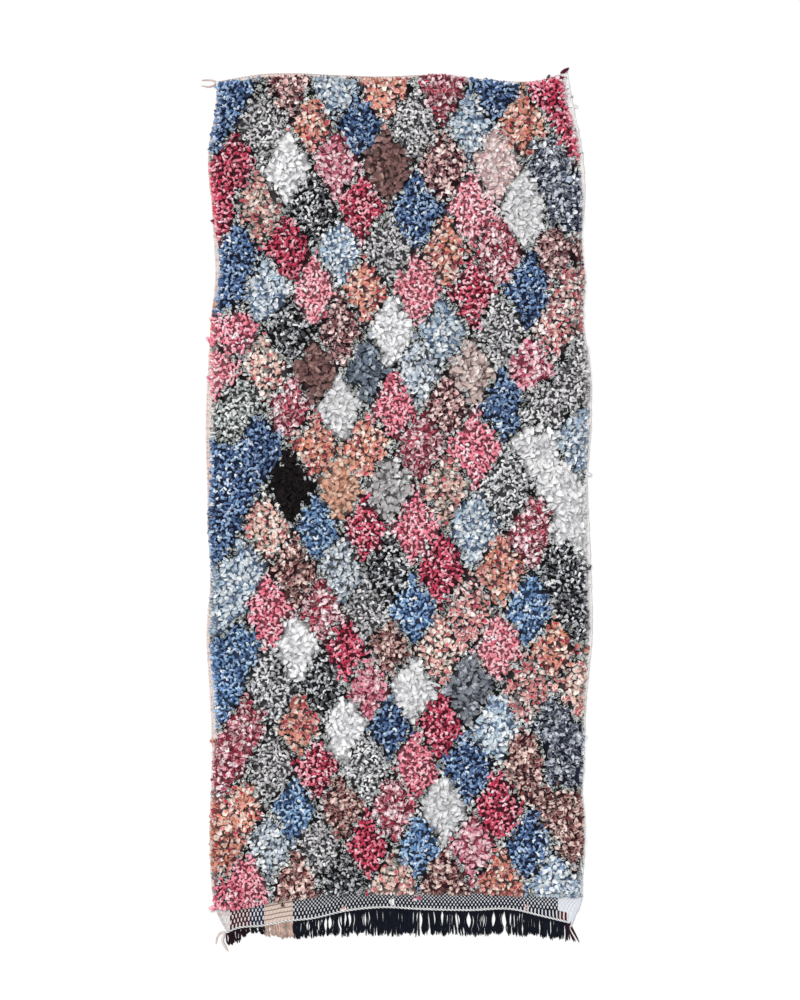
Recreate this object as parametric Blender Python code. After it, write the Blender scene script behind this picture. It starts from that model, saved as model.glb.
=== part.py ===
"""Boucherouite runner, lying flat with its rag pile up.

Metres, +Z up. +Y points to the plain corded end and -Y to the fringed end. The origin is on
the floor under the middle of the outline. Each piece that a weaver makes or sews on is one
object: the woven ground, the rag pile, the cords at both ends, the fringes, which are the
cut warps of each colour, and the loose ends at three corners.
"""

import bisect
import collections
import math
import random

import bmesh
import bpy
from mathutils import Vector

GAP = 0.0003                # room between pieces that touch

# Woven ground
CLOTH_THICK = 0.004
CLOTH_EDGE_ROUND = 0.0015   # how far the cloth's edge is rounded off
CLOTH_STEPS_ALONG = 64      # points along each long side
CLOTH_STEPS_ACROSS = 60     # points along each end

# Rag pile
PILE_HIGH = 0.0195          # usual height of the pile above the floor, between the lozenges
PILE_LUMP = (0.0025, 0.0062)    # how far a tuft stands above, or a hollow sinks below, that
PILE_MOUND = 0.0040         # rise of each lozenge's middle
PILE_STRAY = 0.22           # how far a tuft strays from its even place, as a share of a cell
PILE_RIM_HIGH = 0.011       # height at which the pile's side is widest
PILE_RIM_UNEVEN = 0.001
PILE_RIM_ROUND = 0.012      # how far in from its side the pile is at full height
PILE_UNDERCUT = 0.006       # how far in from its side the pile stands on the cloth
PILE_CELLS_ACROSS = 31
PILE_CELLS_ALONG = 68
PILE_SEED = 7
SELVAGE_SHOWS = 0.009       # bare cloth edge beside the pile
TOP_SHOWS = 0.009           # bare cloth and cord above the pile
LOZENGE_WIDE = 0.147
LOZENGE_LONG = 0.212
LOZENGE_AT = (-0.036, 1.148)    # middle of one lozenge, from which the rest are counted

# Locks, the rag ends that hang out over the pile's rim
LOCK_SHARE = 0.55           # share of the rim's cells that have one
LOCK_REACH = (0.007, 0.015)
LOCK_LEAN = 0.005
LOCK_UNDERSIDE = 0.0064     # height of a lock's underside, clear of the cloth and the cord
LOCK_THICK = 0.004
Stage = collections.namedtuple("Stage", "reach wide thick")
LOCK_STAGES = (Stage(0.5, 0.55, 1.3), Stage(1.0, 0.28, 0.6))

# Cords that edge the two ends
HEM_CORD_RADIUS = 0.0026
HEM_TWIST = 0.010           # length of one crossing of the two plies
TOP_CORD_RADIUS = 0.0019
TOP_TWIST = 0.030

# Cut warps
STRAND_PITCH = 0.0052
STRAND_WIDE = 0.0030
STRAND_THICK = 0.0028
BACKING_DEEP = 0.0030       # width of the strip that the strands of one colour grow from
CLUMP = 7                   # strands that lean together
CLUMP_PULL = 0.28           # share of the way that they lean to their middle
STRAND_UNEVEN = 0.0045      # how much the cut ends differ
STRAND_STRAY = 0.0004
STRAND_STAGES = (Stage(0.35, 1.0, 1.0), Stage(1.0, 0.55, 0.6))
STRAND_BEND = 1.4           # above 1, a strand leans more towards its end
FRINGE_SEED = 5

Side = collections.namedtuple("Side", "y left right")
SIDES = (
    Side(-1.165, -0.470, 0.472),
    Side(-1.120, -0.493, 0.487),
    Side(-1.085, -0.506, 0.503),
    Side(-1.020, -0.514, 0.508),
    Side(-0.850, -0.518, 0.513),
    Side(-0.780, -0.515, 0.507),
    Side(-0.690, -0.512, 0.511),
    Side(-0.510, -0.518, 0.519),
    Side(-0.350, -0.527, 0.534),
    Side(-0.165, -0.516, 0.531),
    Side(-0.060, -0.523, 0.527),
    Side(0.070, -0.525, 0.521),
    Side(0.240, -0.529, 0.532),
    Side(0.400, -0.522, 0.528),
    Side(0.520, -0.514, 0.509),
    Side(0.640, -0.503, 0.513),
    Side(0.755, -0.508, 0.505),
    Side(0.850, -0.514, 0.514),
    Side(0.950, -0.523, 0.511),
    Side(1.010, -0.520, 0.503),
    Side(1.095, -0.503, 0.485),
    Side(1.200, -0.500, 0.467),
)

End = collections.namedtuple("End", "x y")
# Outer edge of the plain end: it bows up at the left and is pulled to a point at the right.
TOP_END = (
    End(-0.500, 1.177),
    End(-0.460, 1.184),
    End(-0.380, 1.197),
    End(-0.290, 1.200),
    End(-0.170, 1.195),
    End(-0.050, 1.191),
    End(0.115, 1.195),
    End(0.200, 1.187),
    End(0.290, 1.179),
    End(0.365, 1.178),
    End(0.405, 1.184),
    End(0.435, 1.194),
    End(0.467, 1.203),
)
# Middle of the twined cord at the fringed end: the left corner hangs lower than the right.
HEM_END = (
    End(-0.476, -1.165),
    End(-0.446, -1.152),
    End(-0.373, -1.144),
    End(-0.311, -1.132),
    End(-0.238, -1.124),
    End(-0.138, -1.102),
    End(-0.040, -1.093),
    End(0.060, -1.098),
    End(0.200, -1.101),
    End(0.318, -1.099),
    End(0.391, -1.116),
    End(0.474, -1.136),
)
# Where the pile stops above the plain woven band
BAND_TOP = (
    End(-0.505, -1.101),
    End(-0.440, -1.103),
    End(-0.373, -1.090),
    End(-0.270, -1.075),
    End(-0.187, -1.066),
    End(0.000, -1.064),
    End(0.270, -1.067),
    End(0.505, -1.066),
)
# Where the cut warps end
FRINGE_END = (
    End(-0.470, -1.203),
    End(-0.440, -1.191),
    End(-0.408, -1.168),
    End(-0.375, -1.166),
    End(-0.350, -1.176),
    End(-0.200, -1.175),
    End(0.000, -1.173),
    End(0.200, -1.174),
    End(0.360, -1.176),
    End(0.420, -1.182),
    End(0.474, -1.190),
)

Warps = collections.namedtuple("Warps", "name start stop lean_start lean_stop colour")
WARPS = (
    Warps("fringe_maroon", -0.4700, -0.4095, 0.003, 0.002, (0.040, 0.012, 0.020)),
    Warps("fringe_black", -0.4080, -0.3675, 0.003, 0.001, (0.016, 0.016, 0.020)),
    Warps("fringe_fawn", -0.3660, -0.2890, 0.001, 0.000, (0.520, 0.360, 0.310)),
    Warps("fringe_navy", -0.2875, 0.4600, 0.000, 0.001, (0.012, 0.018, 0.040)),
    Warps("fringe_plum", 0.4615, 0.4735, 0.001, 0.026, (0.070, 0.018, 0.032)),
)

# Loose ends lie on the floor: their places, and their thickness
Bend = collections.namedtuple("Bend", "x y wide")
LOOSE_THICK = 0.0028
TOP_TIE = (
    Bend(-0.5400, 1.1800, 0.0016),
    Bend(-0.5250, 1.1812, 0.0024),
    Bend(-0.5090, 1.1795, 0.0026),
    Bend(-0.5018, 1.1748, 0.0030),
    Bend(-0.5065, 1.1668, 0.0026),
    Bend(-0.5220, 1.1625, 0.0024),
    Bend(-0.5410, 1.1655, 0.0016),
)
HEM_TAILS = (
    Bend(-0.5010, -1.1945, 0.0016),
    Bend(-0.4970, -1.1740, 0.0026),
    Bend(-0.4865, -1.1625, 0.0028),
    Bend(-0.4775, -1.1655, 0.0032),
    Bend(-0.4835, -1.1850, 0.0032),
    Bend(-0.4755, -1.2020, 0.0030),
    Bend(-0.4680, -1.2138, 0.0018),
)
CORNER_RAG = (
    Bend(0.4470, 1.1999, 0.0040),
    Bend(0.4550, 1.2041, 0.0085),
    Bend(0.4630, 1.2092, 0.0075),
    Bend(0.4700, 1.2146, 0.0020),
)

COLOURS = {
    "ground": (0.62, 0.50, 0.46),
    "pile": (0.36, 0.27, 0.30),
    "cord": (0.78, 0.70, 0.68),
    "rag": (0.10, 0.02, 0.04),
}


def clear_scene():
    for obj in list(bpy.data.objects):
        bpy.data.objects.remove(obj, do_unlink=True)


def cloth_material(name, colour):
    material = bpy.data.materials.new(name)
    material.use_nodes = True
    shader = material.node_tree.nodes["Principled BSDF"]
    shader.inputs["Base Color"].default_value = (*colour, 1.0)
    shader.inputs["Roughness"].default_value = 0.95
    shader.inputs["Metallic"].default_value = 0.0
    return material


def finish_object(name, bm, colour, smooth=True):
    """Turns a closed bmesh into a named object with its own material."""
    bmesh.ops.recalc_face_normals(bm, faces=bm.faces)
    mesh = bpy.data.meshes.new(name)
    bm.to_mesh(mesh)
    bm.free()
    if smooth:
        mesh.shade_smooth()
    mesh.materials.append(cloth_material(name, colour))
    obj = bpy.data.objects.new(name, mesh)
    bpy.context.scene.collection.objects.link(obj)
    return obj


def between(low, high, share):
    return low + (high - low) * share


def through(rows, place):
    """Value at a place on the smooth curve through rows of (place, value)."""
    places = [row[0] for row in rows]
    values = [row[1] for row in rows]
    last = len(rows) - 1
    i = min(max(bisect.bisect_right(places, place) - 1, 0), last - 1)

    def slope(k):
        before, after = max(k - 1, 0), min(k + 1, last)
        return (values[after] - values[before]) / (places[after] - places[before])

    step = places[i + 1] - places[i]
    s = (place - places[i]) / step
    s = min(max(s, 0.0), 1.0)
    return (
        values[i] * (1 + 2 * s) * (1 - s) ** 2
        + step * slope(i) * s * (1 - s) ** 2
        + values[i + 1] * s * s * (3 - 2 * s)
        + step * slope(i + 1) * s * s * (s - 1)
    )


LEFT_ROWS = tuple((side.y, side.left) for side in SIDES)
RIGHT_ROWS = tuple((side.y, side.right) for side in SIDES)


def left_edge(y):
    return through(LEFT_ROWS, y)


def right_edge(y):
    return through(RIGHT_ROWS, y)


def top_edge(x):
    return through(TOP_END, x)


def hem_line(x):
    return through(HEM_END, x)


def cloth_ring(inset):
    """The woven ground's outline, anticlockwise from its lower left corner."""
    above_hem = HEM_CORD_RADIUS + GAP + inset
    below_top = 2 * TOP_CORD_RADIUS + GAP + inset
    hem_left, hem_right = HEM_END[0].x + 0.006, HEM_END[-1].x - 0.001
    top_left, top_right = TOP_END[0].x, TOP_END[-1].x
    corners_y = {
        "hem_left": hem_line(hem_left) + above_hem,
        "hem_right": hem_line(hem_right) + above_hem,
        "top_left": top_edge(top_left) - below_top,
        "top_right": top_edge(top_right) - below_top,
    }
    ring = []
    for i in range(CLOTH_STEPS_ACROSS):
        x = between(hem_left + inset, hem_right - inset, i / CLOTH_STEPS_ACROSS)
        ring.append((x, hem_line(x) + above_hem))
    for i in range(CLOTH_STEPS_ALONG):
        y = between(corners_y["hem_right"], corners_y["top_right"], i / CLOTH_STEPS_ALONG)
        ring.append((right_edge(y) - inset, y))
    for i in range(CLOTH_STEPS_ACROSS):
        x = between(top_right - inset, top_left + inset, i / CLOTH_STEPS_ACROSS)
        ring.append((x, top_edge(x) - below_top))
    for i in range(CLOTH_STEPS_ALONG):
        y = between(corners_y["top_left"], corners_y["hem_left"], i / CLOTH_STEPS_ALONG)
        ring.append((left_edge(y) + inset, y))
    return ring


def add_ring(bm, ring, z):
    return [bm.verts.new((x, y, z)) for x, y in ring]


def join_rings(bm, lower, upper, closed=True):
    """Faces between two rings, or two rows, of as many points."""
    count = len(lower)
    for i in range(count if closed else count - 1):
        j = (i + 1) % count
        bm.faces.new((lower[i], lower[j], upper[j], upper[i]))


def make_ground():
    """The woven ground with both selvages and the plain band at the fringed end."""
    bm = bmesh.new()
    sole = add_ring(bm, cloth_ring(CLOTH_EDGE_ROUND), 0.0)
    side = add_ring(bm, cloth_ring(0.0), CLOTH_THICK / 2)
    face = add_ring(bm, cloth_ring(CLOTH_EDGE_ROUND), CLOTH_THICK)
    join_rings(bm, sole, side)
    join_rings(bm, side, face)
    bm.faces.new(reversed(sole))
    bm.faces.new(face)
    return finish_object("ground", bm, COLOURS["ground"], smooth=False)


def pile_place(u, v):
    """Point of the pile's plan: u runs from left to right, v from the band to the top."""
    y_mean = between(BAND_TOP[0].y, TOP_END[0].y, v)
    x = between(left_edge(y_mean) + SELVAGE_SHOWS, right_edge(y_mean) - SELVAGE_SHOWS, u)
    return x, between(through(BAND_TOP, x), top_edge(x) - TOP_SHOWS, v)


def with_rim(cells, rim_share):
    """Places from 0 to 1 of even grid lines, with one more close to each end."""
    inner = [between(rim_share, 1 - rim_share, i / cells) for i in range(cells + 1)]
    return [0.0, *inner, 1.0]


def pile_height(x, y, is_tuft, rng):
    """Height of the pile inside its rim: a mound in each lozenge, with tufts and hollows."""
    across = (x - LOZENGE_AT[0]) / LOZENGE_WIDE
    along = (y - LOZENGE_AT[1]) / LOZENGE_LONG
    mound = abs(math.cos(math.pi * (across + along)) * math.cos(math.pi * (across - along)))
    lump = rng.uniform(*PILE_LUMP)
    return PILE_HIGH + PILE_MOUND * mound + (lump if is_tuft else -lump)


def add_lock(bm, wall, reach, lean):
    """Draws one wall face of the pile's rim out into a drooping, narrowing rag end."""
    outward = Vector((wall.normal.x, wall.normal.y, 0.0)).normalized()
    sideways = Vector((-outward.y, outward.x, 0.0))
    root = wall.calc_center_median()
    half_wide = max(abs((vert.co - root).dot(sideways)) for vert in wall.verts)
    rim = max((vert.co - root).dot(outward) for vert in wall.verts)
    middle_z = root.z
    for stage in LOCK_STAGES:
        wall = bmesh.ops.extrude_discrete_faces(bm, faces=[wall])["faces"][0]
        place = root + outward * (rim + reach * stage.reach) + sideways * lean * stage.reach
        thick = LOCK_THICK * stage.thick
        for vert in wall.verts:
            hand = 1.0 if (vert.co - root).dot(sideways) > 0 else -1.0
            z = LOCK_UNDERSIDE + (thick if vert.co.z > middle_z else 0.0)
            vert.co = place + sideways * hand * half_wide * stage.wide
            vert.co.z = z
        middle_z = LOCK_UNDERSIDE + thick / 2


def make_pile():
    """The rag pile: one lumpy slab on the ground, with locks round its rim."""
    rng = random.Random(PILE_SEED)
    wide = RIGHT_ROWS[0][1] - LEFT_ROWS[0][1]
    long = TOP_END[0].y - BAND_TOP[0].y
    us = with_rim(PILE_CELLS_ACROSS, PILE_RIM_ROUND / wide)
    vs = with_rim(PILE_CELLS_ALONG, PILE_RIM_ROUND / long)
    last_i, last_j = len(us) - 1, len(vs) - 1
    bm = bmesh.new()
    grid = []
    for j, v in enumerate(vs):
        row = []
        for i, u in enumerate(us):
            x, y = pile_place(u, v)
            if i in (0, last_i) or j in (0, last_j):
                z = PILE_RIM_HIGH + rng.uniform(-PILE_RIM_UNEVEN, PILE_RIM_UNEVEN)
            else:
                z = pile_height(x, y, (i + j) % 2 == 0, rng)
            if 1 < i < last_i - 1 and 1 < j < last_j - 1:
                x += rng.uniform(-PILE_STRAY, PILE_STRAY) * wide / PILE_CELLS_ACROSS
                y += rng.uniform(-PILE_STRAY, PILE_STRAY) * long / PILE_CELLS_ALONG
            row.append(bm.verts.new((x, y, z)))
        grid.append(row)
    for low, high in zip(grid, grid[1:]):
        join_rings(bm, low, high, closed=False)

    rim = [(i, 0) for i in range(last_i)] + [(last_i, j) for j in range(last_j)]
    rim += [(i, last_j) for i in range(last_i, 0, -1)] + [(0, j) for j in range(last_j, 0, -1)]
    u_in, v_in = PILE_UNDERCUT / wide, PILE_UNDERCUT / long
    foot = []
    for i, j in rim:
        u = min(max(us[i], u_in), 1 - u_in)
        v = min(max(vs[j], v_in), 1 - v_in)
        foot.append(bm.verts.new((*pile_place(u, v), CLOTH_THICK + GAP)))
    widest = [grid[j][i] for i, j in rim]
    join_rings(bm, foot, widest)
    bm.faces.new(reversed(foot))
    bmesh.ops.recalc_face_normals(bm, faces=bm.faces)
    bm.normal_update()

    # A wall face's place round the rim, apart from the corners, where locks would meet.
    corners = {(0, 0), (last_i, 0), (last_i, last_j), (0, last_j)}
    walls = []
    for k, at in enumerate(rim):
        after = rim[(k + 1) % len(rim)]
        if at in corners or after in corners:
            continue
        shared = set(foot[k].link_faces) & set(widest[(k + 1) % len(rim)].link_faces)
        walls.append(shared.pop())
    for wall in walls:
        if rng.random() < LOCK_SHARE:
            add_lock(bm, wall, rng.uniform(*LOCK_REACH), rng.uniform(-LOCK_LEAN, LOCK_LEAN))
    return finish_object("pile", bm, COLOURS["pile"])


def make_edge_cord(name, line, x_from, x_to, radius, twist, sides, colour):
    """A twined cord along an end of the cloth, with a swell for each crossing of its plies."""
    steps = 2 * round((x_to - x_from) / twist)
    bm = bmesh.new()
    rings = []
    for k in range(steps + 1):
        x = between(x_from, x_to, k / steps)
        r = radius * (1.0 if k % 2 else 0.80)
        ring = []
        for n in range(sides):
            turn = math.tau * (n + 0.5) / sides
            ring.append(bm.verts.new((x, line(x) + r * math.cos(turn), radius + r * math.sin(turn))))
        rings.append(ring)
    for first, second in zip(rings, rings[1:]):
        join_rings(bm, first, second)
    bm.faces.new(reversed(rings[0]))
    bm.faces.new(rings[-1])
    return finish_object(name, bm, colour)


def make_hem_cord():
    return make_edge_cord(
        "hem_cord", hem_line, HEM_END[0].x + 0.0005, HEM_END[-1].x,
        HEM_CORD_RADIUS, HEM_TWIST, 6, COLOURS["cord"],
    )


def make_top_cord():
    def middle(x):
        return top_edge(x) - TOP_CORD_RADIUS

    return make_edge_cord(
        "top_cord", middle, TOP_END[0].x, TOP_END[-1].x,
        TOP_CORD_RADIUS, TOP_TWIST, 6, COLOURS["cord"],
    )


def make_fringe(warps, rng):
    """Cut warps of one colour: strands that stand apart, fused at a narrow strip."""
    count = round((warps.stop - warps.start) / STRAND_PITCH)
    bm = bmesh.new()
    stations = []
    for i in range(count + 1):
        x = between(warps.start, warps.stop, i / count)
        back = hem_line(x) - HEM_CORD_RADIUS - GAP
        front = back - BACKING_DEEP
        corners = ((back, 0.0), (back, STRAND_THICK), (front, STRAND_THICK), (front, 0.0))
        stations.append([bm.verts.new((x, y, z)) for y, z in corners])
    for a, b in zip(stations, stations[1:]):
        for n in range(3):
            m = (n + 1) % 4
            if n != 2:
                bm.faces.new((a[n], a[m], b[m], b[n]))
        bm.faces.new((a[3], a[0], b[0], b[3]))
    bm.faces.new(stations[0])
    bm.faces.new(reversed(stations[-1]))

    for i, (a, b) in enumerate(zip(stations, stations[1:])):
        root_x = (a[3].co.x + b[3].co.x) / 2
        root_y = (a[3].co.y + b[3].co.y) / 2
        clump_first = i - i % CLUMP
        clump_middle = between(warps.start, warps.stop, min(clump_first + CLUMP / 2, count) / count)
        lean = between(warps.lean_start, warps.lean_stop, (i + 0.5) / count)
        stray = rng.uniform(-STRAND_STRAY, STRAND_STRAY)
        tip_x = between(root_x, clump_middle, CLUMP_PULL) + lean + stray
        tip_y = through(FRINGE_END, root_x) + rng.uniform(-STRAND_UNEVEN, STRAND_UNEVEN)
        ring = [a[3], b[3], b[2], a[2]]
        for stage in STRAND_STAGES:
            x = between(root_x, tip_x, stage.reach ** STRAND_BEND)
            y = between(root_y, tip_y, stage.reach)
            half = STRAND_WIDE * stage.wide / 2
            top = STRAND_THICK * stage.thick
            nearer = [
                bm.verts.new((x - half, y, 0.0)),
                bm.verts.new((x + half, y, 0.0)),
                bm.verts.new((x + half, y, top)),
                bm.verts.new((x - half, y, top)),
            ]
            join_rings(bm, ring, nearer)
            ring = nearer
        bm.faces.new(ring)
    return finish_object(warps.name, bm, warps.colour, smooth=False)


def make_loose_end(name, bends, thick, lift, colour, steps=4):
    """A loose thread or rag end that lies along bends, as a four-sided strand."""
    xs = tuple((k, bend.x) for k, bend in enumerate(bends))
    ys = tuple((k, bend.y) for k, bend in enumerate(bends))
    widths = tuple((k, bend.wide) for k, bend in enumerate(bends))
    count = (len(bends) - 1) * steps
    points = [Vector((through(xs, k / steps), through(ys, k / steps), 0.0)) for k in range(count + 1)]
    bm = bmesh.new()
    rings = []
    for k, point in enumerate(points):
        along = points[min(k + 1, count)] - points[max(k - 1, 0)]
        side = Vector((-along.y, along.x, 0.0)).normalized() * through(widths, k / steps) / 2
        up = Vector((0.0, 0.0, thick))
        base = point + Vector((0.0, 0.0, lift))
        corners = (base - side, base + side, base + side * 0.8 + up, base - side * 0.8 + up)
        rings.append([bm.verts.new(corner) for corner in corners])
    for first, second in zip(rings, rings[1:]):
        join_rings(bm, first, second)
    bm.faces.new(reversed(rings[0]))
    bm.faces.new(rings[-1])
    return finish_object(name, bm, colour, smooth=False)


def main():
    clear_scene()
    make_ground()
    make_pile()
    make_top_cord()
    make_hem_cord()
    rng = random.Random(FRINGE_SEED)
    for warps in WARPS:
        make_fringe(warps, rng)
    make_loose_end("top_tie", TOP_TIE, LOOSE_THICK, 0.0, COLOURS["cord"])
    make_loose_end("hem_tails", HEM_TAILS, LOOSE_THICK, 0.0, COLOURS["cord"])
    make_loose_end("corner_rag", CORNER_RAG, LOOSE_THICK, 0.0, COLOURS["rag"])


main()
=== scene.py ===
"""Boucherouite rug, laid flat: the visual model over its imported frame.

Metres, +Z up. +Y points to the plain corded end and -Y to the fringed end. Places that the
photograph gives are in its pixels, from the pixel that lies over the frame's origin.
"""

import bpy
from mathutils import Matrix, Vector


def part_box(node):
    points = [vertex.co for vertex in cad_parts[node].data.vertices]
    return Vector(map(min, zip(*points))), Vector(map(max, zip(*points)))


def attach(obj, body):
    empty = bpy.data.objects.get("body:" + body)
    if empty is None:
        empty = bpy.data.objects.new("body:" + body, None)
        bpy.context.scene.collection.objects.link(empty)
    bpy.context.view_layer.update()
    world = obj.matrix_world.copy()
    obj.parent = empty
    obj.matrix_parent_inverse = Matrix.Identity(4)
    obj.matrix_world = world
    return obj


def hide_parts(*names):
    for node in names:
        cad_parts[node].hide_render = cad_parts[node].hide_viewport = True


bl_info = {
    "name": "Boucherouite rug",
    "version": (1, 0, 0),
    "blender": (4, 5, 0),
    "location": "View3D > Sidebar > Rug",
    "description": "Dresses the rug's frame with rag pile, weave, cords and fringe",
    "category": "Object",
}

from collections import namedtuple

import bpy
import numpy as np

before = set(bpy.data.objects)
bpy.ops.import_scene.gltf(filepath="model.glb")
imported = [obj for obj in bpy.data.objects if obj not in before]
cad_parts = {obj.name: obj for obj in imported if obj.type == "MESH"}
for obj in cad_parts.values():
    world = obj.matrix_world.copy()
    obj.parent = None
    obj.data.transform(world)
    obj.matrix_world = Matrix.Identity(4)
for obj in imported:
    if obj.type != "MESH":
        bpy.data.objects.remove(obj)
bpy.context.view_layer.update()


def make_table(kind, columns, *rows):
    """Rows of numbers or words with named columns."""
    row_type = namedtuple(kind, columns)
    return tuple(row_type(*row) for row in rows)


# Photograph
PIXEL = 0.00275  # metres of rug to one pixel
ORIGIN_PIXEL = (398.0, 509.5)  # column and row over the frame's origin
PHOTO_WIDE, PHOTO_HIGH = 800, 1000
CAMERA_HIGH = 12.0
SENSOR = 36.0  # millimetres, Blender's own

# Studio: strengths, angles in degrees, and the floor
WORLD_STRENGTH = 0.25
SUN_STRENGTH = 2.9
SUN_SIZE = 64
SUN_TURN = (-12, -14, 0)
FLOOR_REACH = 9.0
FLOOR_SUNK = 0.0005  # below the rug's back
FLOOR_COLOUR = (0.93, 0.93, 0.93, 1.0)
FLOOR_ROUGH = 0.9

# Outline of the cloth, in metres
SIDES = make_table(
    "Side", "y left right",
    (-1.165, -0.470, 0.472), (-1.120, -0.493, 0.487), (-1.085, -0.506, 0.503),
    (-1.020, -0.514, 0.508), (-0.850, -0.518, 0.513), (-0.780, -0.515, 0.507),
    (-0.690, -0.512, 0.511), (-0.510, -0.518, 0.519), (-0.350, -0.527, 0.534),
    (-0.165, -0.516, 0.531), (-0.060, -0.523, 0.527), (0.070, -0.525, 0.521),
    (0.240, -0.529, 0.532), (0.400, -0.522, 0.528), (0.520, -0.514, 0.509), (0.640, -0.503, 0.513),
    (0.755, -0.508, 0.505), (0.850, -0.514, 0.514), (0.950, -0.523, 0.511), (1.010, -0.520, 0.503),
    (1.095, -0.503, 0.485), (1.200, -0.500, 0.467),
)
TOP_END = make_table(
    "Reach", "x y",
    (-0.500, 1.177), (-0.460, 1.184), (-0.380, 1.197), (-0.290, 1.200), (-0.170, 1.195),
    (-0.050, 1.191), (0.115, 1.195), (0.200, 1.187), (0.290, 1.179), (0.365, 1.178), (0.405, 1.184),
    (0.435, 1.194), (0.467, 1.203),
)
HEM_END = make_table(
    "Reach", "x y",
    (-0.476, -1.165), (-0.446, -1.152), (-0.373, -1.144), (-0.311, -1.132), (-0.238, -1.124),
    (-0.138, -1.102), (-0.040, -1.093), (0.060, -1.098), (0.200, -1.101), (0.318, -1.099),
    (0.391, -1.116), (0.474, -1.136),
)
PILE_END = make_table(
    "Reach", "x y",
    (-0.505, -1.096), (-0.440, -1.097), (-0.373, -1.083), (-0.270, -1.068), (-0.187, -1.059),
    (0.000, -1.056), (0.270, -1.059), (0.505, -1.064),
)
FRINGE_END = make_table(
    "Reach", "x y",
    (-0.470, -1.203), (-0.440, -1.191), (-0.408, -1.168), (-0.375, -1.166), (-0.350, -1.176),
    (-0.200, -1.175), (0.000, -1.173), (0.200, -1.174), (0.360, -1.176), (0.420, -1.182),
    (0.474, -1.190),
)

# Bare selvage that shows beside the pile
BARE = make_table(
    "Bare", "y left right",
    (-1.10, 0.006, 0.006), (-0.85, 0.004, 0.005), (-0.70, 0.006, 0.004), (-0.60, 0.015, 0.006),
    (-0.40, 0.014, 0.010), (-0.25, 0.006, 0.016), (-0.05, 0.005, 0.014), (0.05, 0.012, 0.008),
    (0.30, 0.018, 0.010), (0.42, 0.008, 0.008), (0.55, 0.006, 0.004), (0.68, 0.018, 0.003),
    (0.78, 0.009, 0.004), (0.90, 0.007, 0.014), (1.03, 0.006, 0.014), (1.14, 0.004, 0.020),
    (1.20, 0.004, 0.026),
)
# Cord and cloth that show above the pile
TOP_BARE = make_table(
    "Shown", "x bare",
    (-0.500, 0.010), (-0.300, 0.008), (-0.060, 0.009), (0.040, 0.008), (0.060, 0.000),
    (0.180, 0.003), (0.210, 0.004), (0.400, 0.005), (0.467, 0.012),
)
TUFT_FOOT = 0.0048  # no tuft dips below this
TUFT_TOP = 0.0290  # above this a tuft is pressed down
TUFT_PRESS = 0.3
RimRow = namedtuple("RimRow", "pitch inset sunk reach")
RIM_ROW = RimRow(0.0090, 0.0030, 0.0050, 0.0080)  # row of tufts that hides the pile's side
RIM_NEAR = 0.016  # nearer to the rim than this, tufts lean outwards
SPAN_X, SPAN_Y = (-0.55, 0.55), (-1.12, 1.22)  # tufts are sought here
SPAN_RIM = (-1.2, 1.2)
RIM_CLEAR, RIM_RAGGED, RIM_WAVE = 0.0012, 0.0030, 0.024  # mean inset, its change, over what length
ROW_PITCH = 0.9  # of the tufts' pitch, from row to row
JITTER = 0.36  # of the tufts' pitch, to each side
RAG_MIX = 0.0036  # how far tufts of two rags mix
STRAY_SPREAD = 0.0030

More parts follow.
